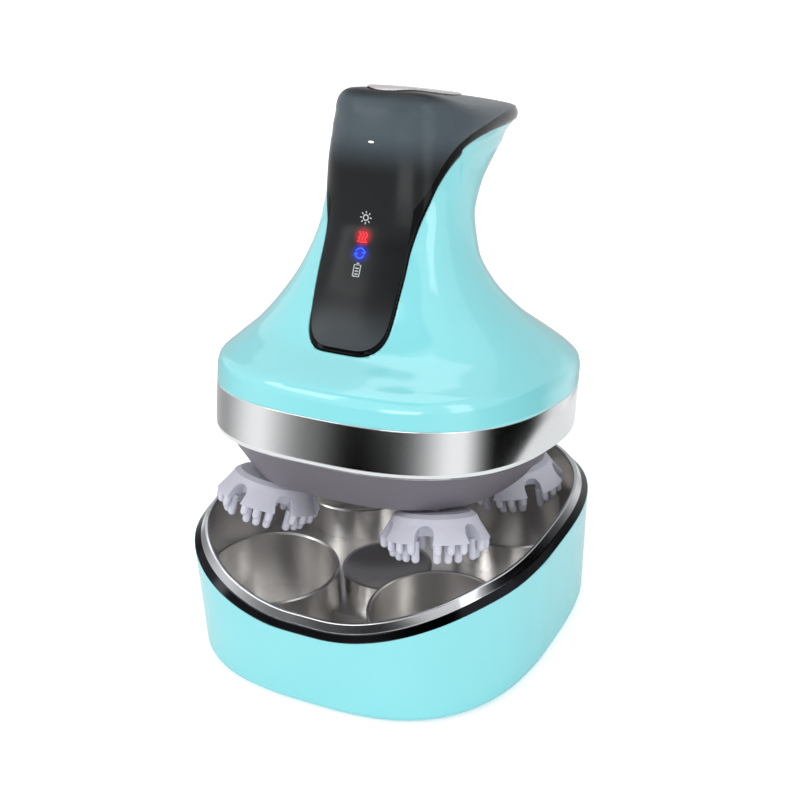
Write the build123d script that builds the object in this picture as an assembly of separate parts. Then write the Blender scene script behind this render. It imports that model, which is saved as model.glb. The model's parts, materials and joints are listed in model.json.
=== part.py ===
from build123d import *
import os
from math import asin, atan, atan2, copysign, cos, degrees, hypot, pi, radians, sin, tan

# Cordless electric scalp massager above its charging dock, as an assembly of separate pieces.
# World frame: origin on the surface under the middle of the dock, +Z up, panel and dip face -Y.
# Hand frame: origin in the middle of the seam between bell and metal ring, +Z up the handle.
# Head frame: origin on top of a claw head, +Z up its spindle, +X away from the handle's axis.

# ---------------------------------------------------------------- dock sizes
DOCK_HALF_X = 60.0          # outline at the dock's foot, half of its width
DOCK_HALF_Y = 66.4          # half of its depth
DOCK_SQUARENESS = 2.8       # exponent of the rounded-square outline, 2 is an ellipse
DOCK_DRAFT = 1.2            # how far the wall leans out on its way up
DOCK_WALL = 2.0
STAND_HEIGHT = 0.8          # gap that the feet keep under the shell
RIM_SIDE_Z = 40.0           # top of the shell at the sides and the back
RIM_DIP_Z = 28.5            # top of the shell in the middle of the front
DIP_FLAT_ANGLE = 5.0        # the dip stays level to this angle off the front
DIP_END_ANGLE = 55.0        # and has risen to full height at this one
TRIM_CREST = 4.8            # height of the chrome trim above the shell
TRIM_WIDTH = 4.8
LINER_SHEET = 1.0
LINER_INSET = 2.6           # outside of the liner's wall from the dock's foot outline
SEAT_GAP = 0.1              # between the liner's pieces
FLOOR_Z = 4.0               # underside of the liner's floor
WELL_RADIUS = 21.5
WELL_X = 31.0
WELL_Y = 33.0
WELL_WALL = 1.4
WELL_RIDGE_Z = 26.0
DECK_Z = 14.0               # raised floor between the wells
ISLAND_RADIUS = 15.6
ISLAND_Y = -8.0
ISLAND_Z = 20.0
DISH_DEPTH = 2.2
FLANGE_SHEET = 1.2          # inward flange of the shell that carries the liner
COVER_SHEET = 1.6           # dock's base cover
FOOT_RADIUS = 5.0
FOOT_HEIGHT = 1.7
FOOT_X = 40.0
FOOT_Y = 45.0
DOCK_SCREW_X = 47.0
DOCK_SCREW_Y = 51.0
DOCK_SCREW_BACK_X = 11.5
DOCK_SCREW_FRONT_Y = -27.8
SOCKET_WIDTH = 9.0
SOCKET_HEIGHT = 3.2
SOCKET_DEPTH = 7.6
BOARD_SHEET = 1.6

# ---------------------------------------------------------------- hand unit sizes
LEAN = 11.0                 # the lifted hand unit leans back by this angle
LIFT_Y = 8.0                # place of the hand frame over the dock
LIFT_Z = 85.8
RING_HALF_X = 55.6
RING_HALF_Y = 61.8
RING_SQUARENESS = 2.6
RING_HEIGHT = 15.8
RING_SHEET = 1.7
RING_LIP = 3.2              # reach of the ring's rolled-in bottom lip
LIP_BAND = 6.0              # upright band of the bell above the ring
SHELL_WALL = 2.2
COVER_REVEAL = 0.15         # line between bell and panel
# Sections of the bell and handle: height, front, back, half width, squareness, narrowing to the back.
BELL_SECTIONS = (
    (6.0, -61.8, 61.8, 55.6, 2.6, 0.0),
    (8.5, -61.0, 61.1, 55.1, 2.6, 0.0),
    (12.0, -55.0, 57.0, 52.8, 2.5, 0.0),
    (18.0, -45.5, 46.0, 47.2, 2.4, 0.0),
    (26.0, -41.6, 31.6, 39.6, 2.3, 0.0),
    (36.0, -38.8, 20.2, 31.4, 2.3, 0.0),
    (46.0, -35.6, 14.4, 26.0, 2.4, 0.0),
    (56.0, -32.8, 14.4, 23.2, 2.5, 0.02),
    (66.0, -32.1, 22.0, 21.9, 2.7, 0.06),
    (73.0, -32.0, 33.9, 21.5, 2.8, 0.12),
    (78.0, -31.9, 47.0, 21.2, 2.7, 0.20),
    (81.0, -31.8, 57.5, 21.0, 2.5, 0.30),
    (84.0, -31.8, 69.5, 21.0, 2.4, 0.38),
    (88.0, -31.8, 75.0, 21.0, 2.3, 0.40),
    (100.0, -31.8, 76.5, 21.0, 2.3, 0.40),
)
# Top of the handle along its middle line: distance back, height.
CROWN_LINE = ((-66.0, 36.0), (-36.0, 76.0), (-32.4, 88.0), (-30.4, 92.4), (-26.5, 95.2), (-20.0, 96.1),
              (-10.0, 95.8), (5.0, 94.9), (25.0, 93.4), (45.0, 91.5), (62.0, 89.0), (74.0, 87.2),
              (90.0, 83.7))
DOME_RADIUS = 45.0          # sideways curve of the top, whose ridge drops DOME_FALL over DOME_RUN
DOME_START_Y = -20.0
DOME_START_Z = 97.6
DOME_FALL = 8.9
DOME_RUN = 94.0
CROWN_WALL = 2.6
# Lower edge of the black cover along the handle's sides: distance back, height.
COVER_EDGE_LINE = ((-60.0, 35.0), (-30.0, 56.5), (-26.5, 62.5), (-22.0, 70.3), (-15.7, 76.0), (-7.3, 79.9),
                   (4.4, 82.2), (17.9, 83.3), (33.7, 83.7), (52.0, 83.4), (72.0, 82.6), (90.0, 81.6))
# Half width of the panel strip seen from the front: height, half width.
PANEL_EDGE_LINE = ((12.0, 13.8), (22.5, 14.3), (32.0, 15.0), (44.0, 15.5), (54.0, 15.3), (62.0, 15.6),
                   (71.0, 17.2), (80.0, 19.6), (94.0, 26.0))
PANEL_BOTTOM_Z = 17.0
PANEL_CORNER = 5.0
POST_TOP_Z = PANEL_BOTTOM_Z - 1.5
BUTTON_FRONT_Y = -26.0
BUTTON_BACK_Y = 33.0
BUTTON_HALF_WIDTH = 11.5
TEARDROP_PEAK = 0.7698      # largest value of sin(t) * sin(t / 2)
BUTTON_PROUD = 0.7
BUTTON_GAP = 0.3
BUTTON_FLANGE = 0.8
BUTTON_TRAVEL = 0.6

# ---------------------------------------------------------------- underside and gearbox sizes
TUB_FIT = 0.2               # tub inside the ring
TUB_WALL = 1.8
TUB_TOP_Z = -2.2
TUB_SHOULDER_Z = -14.6
TUB_TAPER_Z = -16.4
TUB_BOTTOM_Z = -29.5
TUB_BOTTOM_INSET = 12.5
TUB_FLOOR = 2.0
POST_X = 38.0
POST_Y = 44.0
POST_RADIUS = 3.6
POST_RIB = 2.4
SCREW_RADIUS = 1.25
SCREW_HEAD_RADIUS = 2.4
SCREW_HEAD_HEIGHT = 1.8
SCREW_SEAT_Z = -12.0
SCREW_BITE = 9.0            # how deep the long screws reach into the bell's posts
MOTOR_RADIUS = 12.4
MOTOR_LENGTH = 43.0
MOTOR_GEARHEAD_LENGTH = 20.0
CHASSIS_WALL = 1.5
BATTERY_HALF_X = 10.5
BATTERY_FRONT_Y = -19.0
BATTERY_BACK_Y = 6.5
BATTERY_LENGTH = 34.0
TRAY_WALL = 1.4
SHAFT_RADIUS = 2.0

# ---------------------------------------------------------------- claw head sizes
HEAD_X = 29.5
HEAD_Y = 32.0
HEAD_TOP_Z = -32.0
HEAD_SPLAY = 12.0
DRIVE_TEETH = 34
HEAD_TEETH = 26
GEAR_PLANE_Z = -12.0        # where the drive gear's pitch circle lies
GEAR_FACE = 5.0
SPINDLE_RADIUS = 2.0
RUNNING_FIT = 0.05
BUSH_WALL = 1.35
BOSS_WALL = 1.6
BOSS_START = 1.6            # bottom of a spindle boss above the head
SEAL_HEIGHT = 1.6
LOWER_BUSH_END = 10.5
UPPER_BUSH_LENGTH = 5.0
GEAR_TO_BUSH = 0.7
HUB_RADIUS = 10.5
CROWN_RADIUS = 13.2
PETAL_RADIUS = 17.5
PETAL_EDGE_DROP = 8.5
NUB_DROP = 15.0
OUTER_NUB_DROP = 12.0
PETALS = 6
PETAL_GAP = 6.0
NUB_RADIUS = 1.25

OUTLINE_POINTS = 40


# ---------------------------------------------------------------- outlines and lofts
def outline_point(half_x, half_y, squareness, turn, centre_y=0.0, narrowing=0.0):
    """Point of a rounded-square outline at the angle parameter `turn`."""
    across = copysign(abs(cos(turn)) ** (2 / squareness), cos(turn))
    along = copysign(abs(sin(turn)) ** (2 / squareness), sin(turn))
    return half_x * across * (1 - narrowing * along), centre_y + half_y * along


def outline_turns():
    return [2 * pi * step / OUTLINE_POINTS for step in range(OUTLINE_POINTS)]


def closed_curve(points):
    return Edge.make_spline([Vector(*point) for point in points], periodic=True)


def flat_outline(half_x, half_y, squareness, z, centre_y=0.0, narrowing=0.0):
    points = []
    for turn in outline_turns():
        x, y = outline_point(half_x, half_y, squareness, turn, centre_y, narrowing)
        points.append((x, y, z))
    return closed_curve(points)


def prism(half_x, half_y, squareness, low, high):
    base = Face(Wire([flat_outline(half_x, half_y, squareness, low)]))
    return Solid.extrude(base, Vector(0, 0, high - low))


def quarter_curves(points):
    """Four splines round a closed outline that starts on the +X side, square to both axes."""
    quarter = len(points) // 4
    closed = [Vector(*point) for point in points + points[:1]]
    headings = [Vector(0, 1, 0), Vector(-1, 0, 0), Vector(0, -1, 0), Vector(1, 0, 0), Vector(0, 1, 0)]
    return [Edge.make_spline(closed[i * quarter:(i + 1) * quarter + 1], tangents=headings[i:i + 2])
            for i in range(4)]


def hoop(half_x, half_y, squareness, profile, rim=None):
    """Closed band round an outline. Each profile point is (inset, height, follows the rim)."""
    curves = []
    for inset, height, follows_rim in profile:
        points = []
        for turn in outline_turns():
            x, y = outline_point(half_x - inset, half_y - inset, squareness, turn)
            points.append((x, y, height + (rim(x, y) if follows_rim else 0.0)))
        curves.append(quarter_curves(points))
    faces = []
    for low, high in zip(curves, curves[1:] + curves[:1]):
        faces += [Face.make_surface_from_curves(one, other) for one, other in zip(low, high)]
    solid = Solid(Shell(faces))
    return solid if solid.volume > 0 else Solid(solid.wrapped.Reversed())


def ring_tube(outer, inner, low, high, x=0.0, y=0.0):
    return cylinder(outer, low, high, x, y) - cylinder(inner, low - 1, high + 1, x, y)


def cylinder(radius, low, high, x=0.0, y=0.0):
    return Pos(x, y, (low + high) / 2) * Cylinder(radius, high - low)


def block(x0, x1, y0, y1, z0, z1):
    return Pos((x0 + x1) / 2, (y0 + y1) / 2, (z0 + z1) / 2) * Box(x1 - x0, y1 - y0, z1 - z0)


def turned(points):
    """Solid of revolution about Z from (radius, height) points."""
    face = make_face(Polyline(*[(radius, 0, height) for radius, height in points], close=True))
    return revolve(face, Axis.Z)


def save(name, shape):
    export_step(shape, f"parts/{name}.step")


# ---------------------------------------------------------------- dock
def rim_height(x, y):
    """Height of the dock shell's wavy top: a dip at the front that rises to the sides."""
    off_front = degrees(atan2(abs(x), -y))
    share = (off_front - DIP_FLAT_ANGLE) / (DIP_END_ANGLE - DIP_FLAT_ANGLE)
    share = min(max(share, 0.0), 1.0)
    return RIM_DIP_Z + (RIM_SIDE_Z - RIM_DIP_Z) * share ** 2 * (3 - 2 * share)


def dock_hoop(profile):
    return hoop(DOCK_HALF_X, DOCK_HALF_Y, DOCK_SQUARENESS, profile, rim_height)


def dock_prism(inset, low, high):
    return prism(DOCK_HALF_X - inset, DOCK_HALF_Y - inset, DOCK_SQUARENESS, low, high)


FLANGE_Z = FLOOR_Z - FLANGE_SHEET
COVER_Z = FLANGE_Z - COVER_SHEET
FLANGE_REACH = LINER_INSET + 2.4
SHELL_FOOT_INSET = LINER_INSET - 0.2
ISLAND_UNDER_Z = ISLAND_Z - DISH_DEPTH - LINER_SHEET
COIL_TOP_Z = ISLAND_UNDER_Z - 0.2
COIL_SHEET = 1.4
FERRITE_SHEET = 0.8
COIL_RADIUS = 12.2
COIL_HOLE = 5.0
COIL_POST_RADIUS = 6.0
BOARD_Z = FLANGE_Z + 1.6
SOCKET_Z = BOARD_Z + BOARD_SHEET
WELL_SIDES = {"front_left": (-1, -1), "front_right": (1, -1), "rear_right": (1, 1), "rear_left": (-1, 1)}
WELL_CENTRES = [(x * WELL_X, y * WELL_Y) for x, y in WELL_SIDES.values()]
DOCK_SCREWS = [(DOCK_SCREW_X, 0.0), (-DOCK_SCREW_X, 0.0), (DOCK_SCREW_BACK_X, DOCK_SCREW_Y),
               (-DOCK_SCREW_BACK_X, DOCK_SCREW_Y), (0.0, DOCK_SCREW_FRONT_Y)]


def socket_passage():
    """Clear way through the back walls for the power plug."""
    return block(-SOCKET_WIDTH / 2 - 0.4, SOCKET_WIDTH / 2 + 0.4, DOCK_HALF_Y - 8, DOCK_HALF_Y + 4,
                 SOCKET_Z - 0.3, SOCKET_Z + SOCKET_HEIGHT + 0.4)


def dock_shell():
    wall = dock_hoop([
        (1.8, STAND_HEIGHT, False), (0.55, STAND_HEIGHT + 0.55, False), (0.0, STAND_HEIGHT + 1.9, False),
        (-DOCK_DRAFT, 0.0, True), (DOCK_WALL - DOCK_DRAFT, 0.0, True),
        (DOCK_WALL, FLOOR_Z, False), (FLANGE_REACH, FLOOR_Z, False), (FLANGE_REACH, FLANGE_Z, False),
        (SHELL_FOOT_INSET, FLANGE_Z, False), (SHELL_FOOT_INSET, STAND_HEIGHT, False)])
    return wall - socket_passage()


def dock_rim_trim():
    outer = -DOCK_DRAFT
    inner = outer + TRIM_WIDTH
    return dock_hoop([
        (outer, 0.0, True), (outer + 2.1, 2.0, True), (outer + 3.6, TRIM_CREST, True),
        (inner - 0.4, TRIM_CREST, True), (inner, TRIM_CREST - 0.4, True), (inner, TRIM_CREST - 1.2, True),
        (inner - 1.4, TRIM_CREST - 1.2, True), (DOCK_WALL - DOCK_DRAFT, 1.0, True),
        (DOCK_WALL - DOCK_DRAFT, 0.0, True)])


def well_wall(x, y):
    outer = WELL_RADIUS + WELL_WALL
    bevel = 0.45
    profile = [(WELL_RADIUS, FLOOR_Z), (outer, FLOOR_Z), (outer, WELL_RIDGE_Z - bevel),
               (outer - bevel, WELL_RIDGE_Z), (WELL_RADIUS + bevel, WELL_RIDGE_Z),
               (WELL_RADIUS, WELL_RIDGE_Z - bevel)]
    return Pos(x, y, 0) * turned(profile)


def island():
    outer = ISLAND_RADIUS
    inner = outer - LINER_SHEET
    dish = outer - 1.2
    bow = (dish ** 2 + DISH_DEPTH ** 2) / (2 * DISH_DEPTH)
    top = cylinder(outer, ISLAND_UNDER_Z, ISLAND_Z, 0, ISLAND_Y)
    wall = ring_tube(outer, inner, DECK_Z - LINER_SHEET, ISLAND_Z, 0, ISLAND_Y)
    hollow = Pos(0, ISLAND_Y, ISLAND_Z - DISH_DEPTH + bow) * Sphere(bow)
    under = Pos(0, ISLAND_Y, ISLAND_Z - DISH_DEPTH - LINER_SHEET + bow) * Sphere(bow)
    under = under & cylinder(inner, ISLAND_UNDER_Z - 1, ISLAND_Z, 0, ISLAND_Y)
    cap = (top - hollow) & (under + ring_tube(outer, inner - 0.5, ISLAND_UNDER_Z, ISLAND_Z, 0, ISLAND_Y))
    return wall + cap


def dock_liner():
    """Mirror liner: the skirt that follows the dock's outline inside the shell."""
    inner = LINER_INSET + LINER_SHEET
    skirt = dock_hoop([(LINER_INSET, FLOOR_Z, False), (LINER_INSET, TRIM_CREST - 1.25, True),
                       (inner, TRIM_CREST - 1.25, True), (inner, FLOOR_Z, False)])
    return skirt - socket_passage()


def liner_bay(top):
    """Space inside the skirt, up to a height."""
    return dock_prism(LINER_INSET + LINER_SHEET + SEAT_GAP, FLOOR_Z, top)


def dock_deck():
    """Mirror deck between the wells: raised floor, front trough, dished island and screw posts."""
    floor_top = FLOOR_Z + LINER_SHEET
    trough = block(-WELL_X, WELL_X, -DOCK_HALF_Y, -WELL_Y, FLOOR_Z, floor_top)
    apron = block(-WELL_X, WELL_X, -WELL_Y, -WELL_Y + LINER_SHEET, FLOOR_Z, DECK_Z)
    deck = liner_bay(DECK_Z) & block(-80, 80, -WELL_Y, 80, DECK_Z - LINER_SHEET, DECK_Z)
    deck = deck - cylinder(ISLAND_RADIUS - LINER_SHEET, 0, ISLAND_Z, 0, ISLAND_Y)
    body = (deck + apron + trough + island()) & liner_bay(WELL_RIDGE_Z)
    for x, y in WELL_CENTRES:
        body = body - cylinder(WELL_RADIUS + WELL_WALL + SEAT_GAP, 0, DOCK_HALF_Y, x, y)
    for x, y in DOCK_SCREWS:
        post = cylinder(3.0, FLANGE_Z, DECK_Z - LINER_SHEET, x, y)
        body = body + post - cylinder(SCREW_RADIUS, FLANGE_Z - 1, DECK_Z - LINER_SHEET - 1.5, x, y)
    return body - socket_passage()


def well_insert(x, y):
    """Mirror cup that holds one claw head. The skirt closes it on the dock's corner."""
    floor = cylinder(WELL_RADIUS + WELL_WALL / 2, FLOOR_Z, FLOOR_Z + LINER_SHEET, x, y)
    return (floor + well_wall(x, y)) & liner_bay(WELL_RIDGE_Z + 1)


def dock_base_cover():
    plate = dock_prism(SHELL_FOOT_INSET + 0.1, COVER_Z, FLANGE_Z)
    plate = plate + cylinder(COIL_POST_RADIUS, COVER_Z, COIL_TOP_Z - COIL_SHEET - FERRITE_SHEET, 0, ISLAND_Y)
    for x, y in BOARD_POSTS:
        plate = plate + cylinder(1.6, COVER_Z, BOARD_Z, x, y)
    for x, y in FOOT_CENTRES:
        plate = plate - cylinder(FOOT_RADIUS + 0.1, 0, FOOT_HEIGHT, x, y)
    for x, y in DOCK_SCREWS:
        plate = plate - cylinder(SCREW_RADIUS + 0.2, 0, FLANGE_Z + 1, x, y)
        plate = plate - cylinder(SCREW_HEAD_RADIUS + 0.2, 0, COVER_Z + 0.8, x, y)
    return plate


BOARD_FRONT_Y = 14.0
BOARD_BACK_Y = DOCK_HALF_Y - LINER_INSET - LINER_SHEET - 5.0
BOARD_HALF_X = 6.5
BOARD_POSTS = [(0.0, BOARD_FRONT_Y + 5), (0.0, BOARD_BACK_Y - 14)]
FOOT_CENTRES = [(x * FOOT_X, y * FOOT_Y) for x in (-1, 1) for y in (-1, 1)] + [(0.0, 0.0)]


def dock_feet():
    return Compound([cylinder(FOOT_RADIUS, 0, FOOT_HEIGHT, x, y) for x, y in FOOT_CENTRES])


def screw(x, y, seat, tip, head_below=SCREW_HEAD_HEIGHT):
    """Screw driven upward: a pan head under the seat and a shank above it."""
    head = cylinder(SCREW_HEAD_RADIUS, seat - head_below, seat, x, y)
    recess = cylinder(1.1, seat - head_below - 1, seat - head_below + 0.8, x, y)
    return head - recess + cylinder(SCREW_RADIUS, seat, tip, x, y)


def dock_screws():
    seat = COVER_Z + 0.8
    return Compound([screw(x, y, seat, DECK_Z - LINER_SHEET - 3, 0.7) for x, y in DOCK_SCREWS])


def dock_charging_coil():
    return ring_tube(COIL_RADIUS, COIL_HOLE, COIL_TOP_Z - COIL_SHEET, COIL_TOP_Z, 0, ISLAND_Y)


def dock_ferrite_disc():
    top = COIL_TOP_Z - COIL_SHEET
    return cylinder(COIL_RADIUS + 0.6, top - FERRITE_SHEET, top, 0, ISLAND_Y)


def dock_charging_board():
    board = block(-BOARD_HALF_X, BOARD_HALF_X, BOARD_FRONT_Y, BOARD_BACK_Y, BOARD_Z, SOCKET_Z)
    chip = block(-2.5, 2.5, BOARD_FRONT_Y + 10, BOARD_FRONT_Y + 15, SOCKET_Z, SOCKET_Z + 1.0)
    inductor = cylinder(3.0, SOCKET_Z, SOCKET_Z + 3.0, 0, BOARD_FRONT_Y + 22)
    return board + chip + inductor


def dock_power_socket():
    """Shell of the inlet: a flat rounded sleeve with its tongue, open to the back."""
    back = DOCK_HALF_Y - 1.0
    front = BOARD_BACK_Y - 2.0
    middle_z = SOCKET_Z + SOCKET_HEIGHT / 2
    middle_y = (front + back) / 2
    length = back - front
    sleeve = Pos(0, middle_y, middle_z) * Rot(90, 0, 0) * extrude(
        RectangleRounded(SOCKET_WIDTH, SOCKET_HEIGHT, SOCKET_HEIGHT / 2 - 0.05), length / 2, both=True)
    bore = Pos(0, middle_y + 1.5, middle_z) * Rot(90, 0, 0) * extrude(
        RectangleRounded(SOCKET_WIDTH - 0.8, SOCKET_HEIGHT - 0.8, SOCKET_HEIGHT / 2 - 0.5), length / 2, both=True)
    tongue = block(-3.3, 3.3, front + 0.5, back - 1.2, middle_z - 0.35, middle_z + 0.35)
    return sleeve - bore + tongue


# ---------------------------------------------------------------- hand unit shells
def smooth(knots, index, z):
    """Monotone cubic through the section table, so that the handle has no ripples."""
    heights = [row[0] for row in knots]
    values = [row[index] for row in knots]
    slopes = [(values[i + 1] - values[i]) / (heights[i + 1] - heights[i]) for i in range(len(values) - 1)]
    tangents = [slopes[0]]
    for i in range(1, len(slopes)):
        before, after = slopes[i - 1], slopes[i]
        wide_before = heights[i] - heights[i - 1]
        wide_after = heights[i + 1] - heights[i]
        if before * after <= 0:
            tangents.append(0.0)
            continue
        weight_one = 2 * wide_after + wide_before
        weight_two = wide_after + 2 * wide_before
        tangents.append((weight_one + weight_two) / (weight_one / before + weight_two / after))
    tangents.append(slopes[-1])
    for i in range(len(slopes)):
        if z <= heights[i + 1] or i == len(slopes) - 1:
            width = heights[i + 1] - heights[i]
            t = (z - heights[i]) / width
            return (values[i] * (2 * t ** 3 - 3 * t ** 2 + 1) + tangents[i] * width * (t ** 3 - 2 * t ** 2 + t)
                    + values[i + 1] * (3 * t ** 2 - 2 * t ** 3) + tangents[i + 1] * width * (t ** 3 - t ** 2))


def section_levels():
    """Heights of the loft's sections: closer together where the bell and the beak turn fast."""
    levels = []
    for low, high in zip(BELL_SECTIONS, BELL_SECTIONS[1:]):
        levels += [low[0], (low[0] + high[0]) / 2]
    return levels + [BELL_SECTIONS[-1][0]]


def handle_section(z, inset=0.0, back_limit=None):
    front, back, half_x, squareness, narrowing = [smooth(BELL_SECTIONS, i, z) for i in range(1, 6)]
    front += inset
    back -= inset
    if back_limit is not None:
        back = min(back, back_limit)
    return flat_outline(half_x - inset, (back - front) / 2, squareness, z, (front + back) / 2, narrowing)


def handle_loft(inset=0.0, back_limit=None):
    sections = [Wire([handle_section(z, inset, back_limit)]) for z in section_levels()]
    return Solid.make_loft(sections)


def below_line(line, drop, half_width):
    """Everything under a line drawn on the handle's middle plane, as a thick slab across."""
    steps = int((line[-1][0] - line[0][0]) / 4)
    stations = [line[0][0] + (line[-1][0] - line[0][0]) * step / steps for step in range(steps + 1)]
    points = [(0, y, smooth(line, 1, y) - drop) for y in stations]
    curve = Edge.make_spline([Vector(*point) for point in points])
    start, end = Vector(*points[0]), Vector(*points[-1])
    deep = Vector(0, 0, -200)
    sides = [Edge.make_line(end, end + deep), Edge.make_line(end + deep, start + deep),
             Edge.make_line(start + deep, start)]
    face = Face(Wire([curve] + sides))
    return Pos(-half_width, 0, 0) * Solid.extrude(face, Vector(2 * half_width, 0, 0))


def below_crown(drop):
    """Everything under the top of the handle, which falls off to both sides, lowered by `drop`."""
    slope = degrees(atan2(DOME_FALL, DOME_RUN))
    middle = Vector(0, DOME_START_Y, DOME_START_Z - DOME_RADIUS)
    dome = Pos(middle) * Rot(-90 - slope, 0, 0) * Cylinder(DOME_RADIUS - drop, 400)
    low = block(-90, 90, -90, 120, -60, 70)
    return below_line(CROWN_LINE, drop, 85) & (low + dome)


def handle_blank():
    """Full outer form of the bell and handle, closed."""
    band = prism(RING_HALF_X, RING_HALF_Y, RING_SQUARENESS, 0, LIP_BAND)
    return band + (handle_loft() & below_crown(0.0))


def handle_cavity():
    """Inner form. It stops short of the beak, which stays thick."""
    beak_start = 36.0
    band = prism(RING_HALF_X - SHELL_WALL, RING_HALF_Y - SHELL_WALL, RING_SQUARENESS, -1, LIP_BAND)
    return band + (handle_loft(SHELL_WALL, beak_start) & below_crown(CROWN_WALL))


def panel_prism(grow):
    """The panel strip's outline seen from the front, pushed through the handle's front wall."""
    low, high = PANEL_BOTTOM_Z - grow, PANEL_EDGE_LINE[-1][0]
    levels = [low + (high - low) * step / 14 for step in range(15)]
    widths = [smooth(PANEL_EDGE_LINE, 1, z) + grow for z in levels]
    right = Edge.make_spline([Vector(x, 0, z) for x, z in zip(widths, levels)])
    left = Edge.make_spline([Vector(-x, 0, z) for x, z in zip(widths, levels)])
    top = Edge.make_line(right.position_at(1), left.position_at(1))
    bottom = Edge.make_line(left.position_at(0), right.position_at(0))
    strip = Pos(0, -100, 0) * Solid.extrude(Face(Wire([right, top, left, bottom])), Vector(0, 84, 0))
    corners = [edge for edge in strip.edges().filter_by(Axis.Y) if edge.center().Z < low + 1]
    return fillet(corners, PANEL_CORNER)


def cover_region(grow):
    above = block(-70, 70, -90, 110, 20, 140) - below_line(COVER_EDGE_LINE, grow, 80)
    return above + panel_prism(grow)


def bell_posts(blank):
    """Screw posts, each tied to the nearest wall by a rib."""
    posts = None
    for x, y in POST_CENTRES:
        post = cylinder(POST_RADIUS, 0, POST_TOP_Z, x, y)
        rib_x, rib_y = sorted((x, 2 * x)), sorted((y, 2 * y))
        rib_x = rib_x if x else (-POST_RIB / 2, POST_RIB / 2)
        rib_y = rib_y if y else (-POST_RIB / 2, POST_RIB / 2)
        post = (post + block(*rib_x, *rib_y, 1.0, POST_TOP_Z)) & blank
        posts = post if posts is None else posts + post
    return posts


def bell_housing(blank, cavity):
    shell = blank - cavity + bell_posts(blank)
    for x, y in POST_CENTRES:
        shell = shell - cylinder(SCREW_RADIUS, -1, SCREW_BITE + 1, x, y)
    return shell - cover_region(COVER_REVEAL)


def front_cover(blank, cavity):
    skin = (blank - cavity) & cover_region(0.0)
    return skin - button_prism(BUTTON_GAP, CROWN_WALL + 30)


# ---------------------------------------------------------------- power button
def teardrop(grow):
    """Outline with a round front and a point at the back, as a face in the hand frame's XY plane."""
    middle, half = (BUTTON_FRONT_Y + BUTTON_BACK_Y) / 2, (BUTTON_BACK_Y - BUTTON_FRONT_Y) / 2 + grow
    points = []
    for step in range(49):
        turn = 2 * pi * step / 48
        across = sin(turn) * sin(turn / 2) / TEARDROP_PEAK
        points.append(Vector((BUTTON_HALF_WIDTH + grow) * across, middle + half * cos(turn), 0))
    points[-1] = points[0]
    return Face(Wire([Edge.make_spline(points)]))


def button_prism(grow, depth):
    return Pos(0, 0, 70) * Solid.extrude(teardrop(grow), Vector(0, 0, depth + 10))


def power_button():
    top = below_crown(-BUTTON_PROUD)
    under_cap = below_crown(CROWN_WALL + BUTTON_GAP + BUTTON_FLANGE)
    under_wall = below_crown(CROWN_WALL + BUTTON_GAP)
    cap = (button_prism(0.0, 30) & top) - under_cap
    flange = (button_prism(BUTTON_FLANGE + BUTTON_GAP, 30) & under_wall) - under_cap
    return cap + flange


SWITCH_Y = -4.0
SWITCH_TOP_Z = (smooth(CROWN_LINE, 1, SWITCH_Y) - CROWN_WALL - BUTTON_GAP - BUTTON_FLANGE
                - BUTTON_TRAVEL - 0.2)
SWITCH_BOARD_Z = SWITCH_TOP_Z - 4.9


def tact_switch():
    body = block(-3.1, 3.1, SWITCH_Y - 3.1, SWITCH_Y + 3.1, SWITCH_BOARD_Z, SWITCH_TOP_Z - 1.0)
    return body + cylinder(1.75, SWITCH_TOP_Z - 1.0, SWITCH_TOP_Z, 0, SWITCH_Y)


def switch_board():
    half_x = BATTERY_HALF_X + TRAY_WALL
    return block(-half_x, half_x, BATTERY_FRONT_Y, BATTERY_BACK_Y, SWITCH_BOARD_Z - BOARD_SHEET, SWITCH_BOARD_Z)


# ---------------------------------------------------------------- ring, tub and chassis
POST_CENTRES = [(POST_X, 0.0), (-POST_X, 0.0), (0.0, POST_Y), (0.0, -POST_Y)]


def ring_prism(inset, low, high):
    return prism(RING_HALF_X - inset, RING_HALF_Y - inset, RING_SQUARENESS, low, high)


def chrome_ring():
    """Polished band with a rolled-in lip that the tub's shoulder sits on."""
    bottom = -RING_HEIGHT
    return hoop(RING_HALF_X, RING_HALF_Y, RING_SQUARENESS, [
        (0.0, 0.0, False), (0.0, bottom + 2.4, False), (0.25, bottom + 1.3, False), (0.85, bottom + 0.45, False),
        (1.8, bottom, False), (RING_LIP, bottom, False), (RING_LIP, TUB_SHOULDER_Z, False),
        (RING_SHEET, TUB_SHOULDER_Z, False), (RING_SHEET, 0.0, False)])


def tub_taper(top_inset, top_z, bottom_inset, bottom_z):
    wires = [Wire([flat_outline(RING_HALF_X - inset, RING_HALF_Y - inset, RING_SQUARENESS, z)])
             for inset, z in ((top_inset, top_z), (bottom_inset, bottom_z))]
    return Solid.make_loft(wires, ruled=True)


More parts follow.
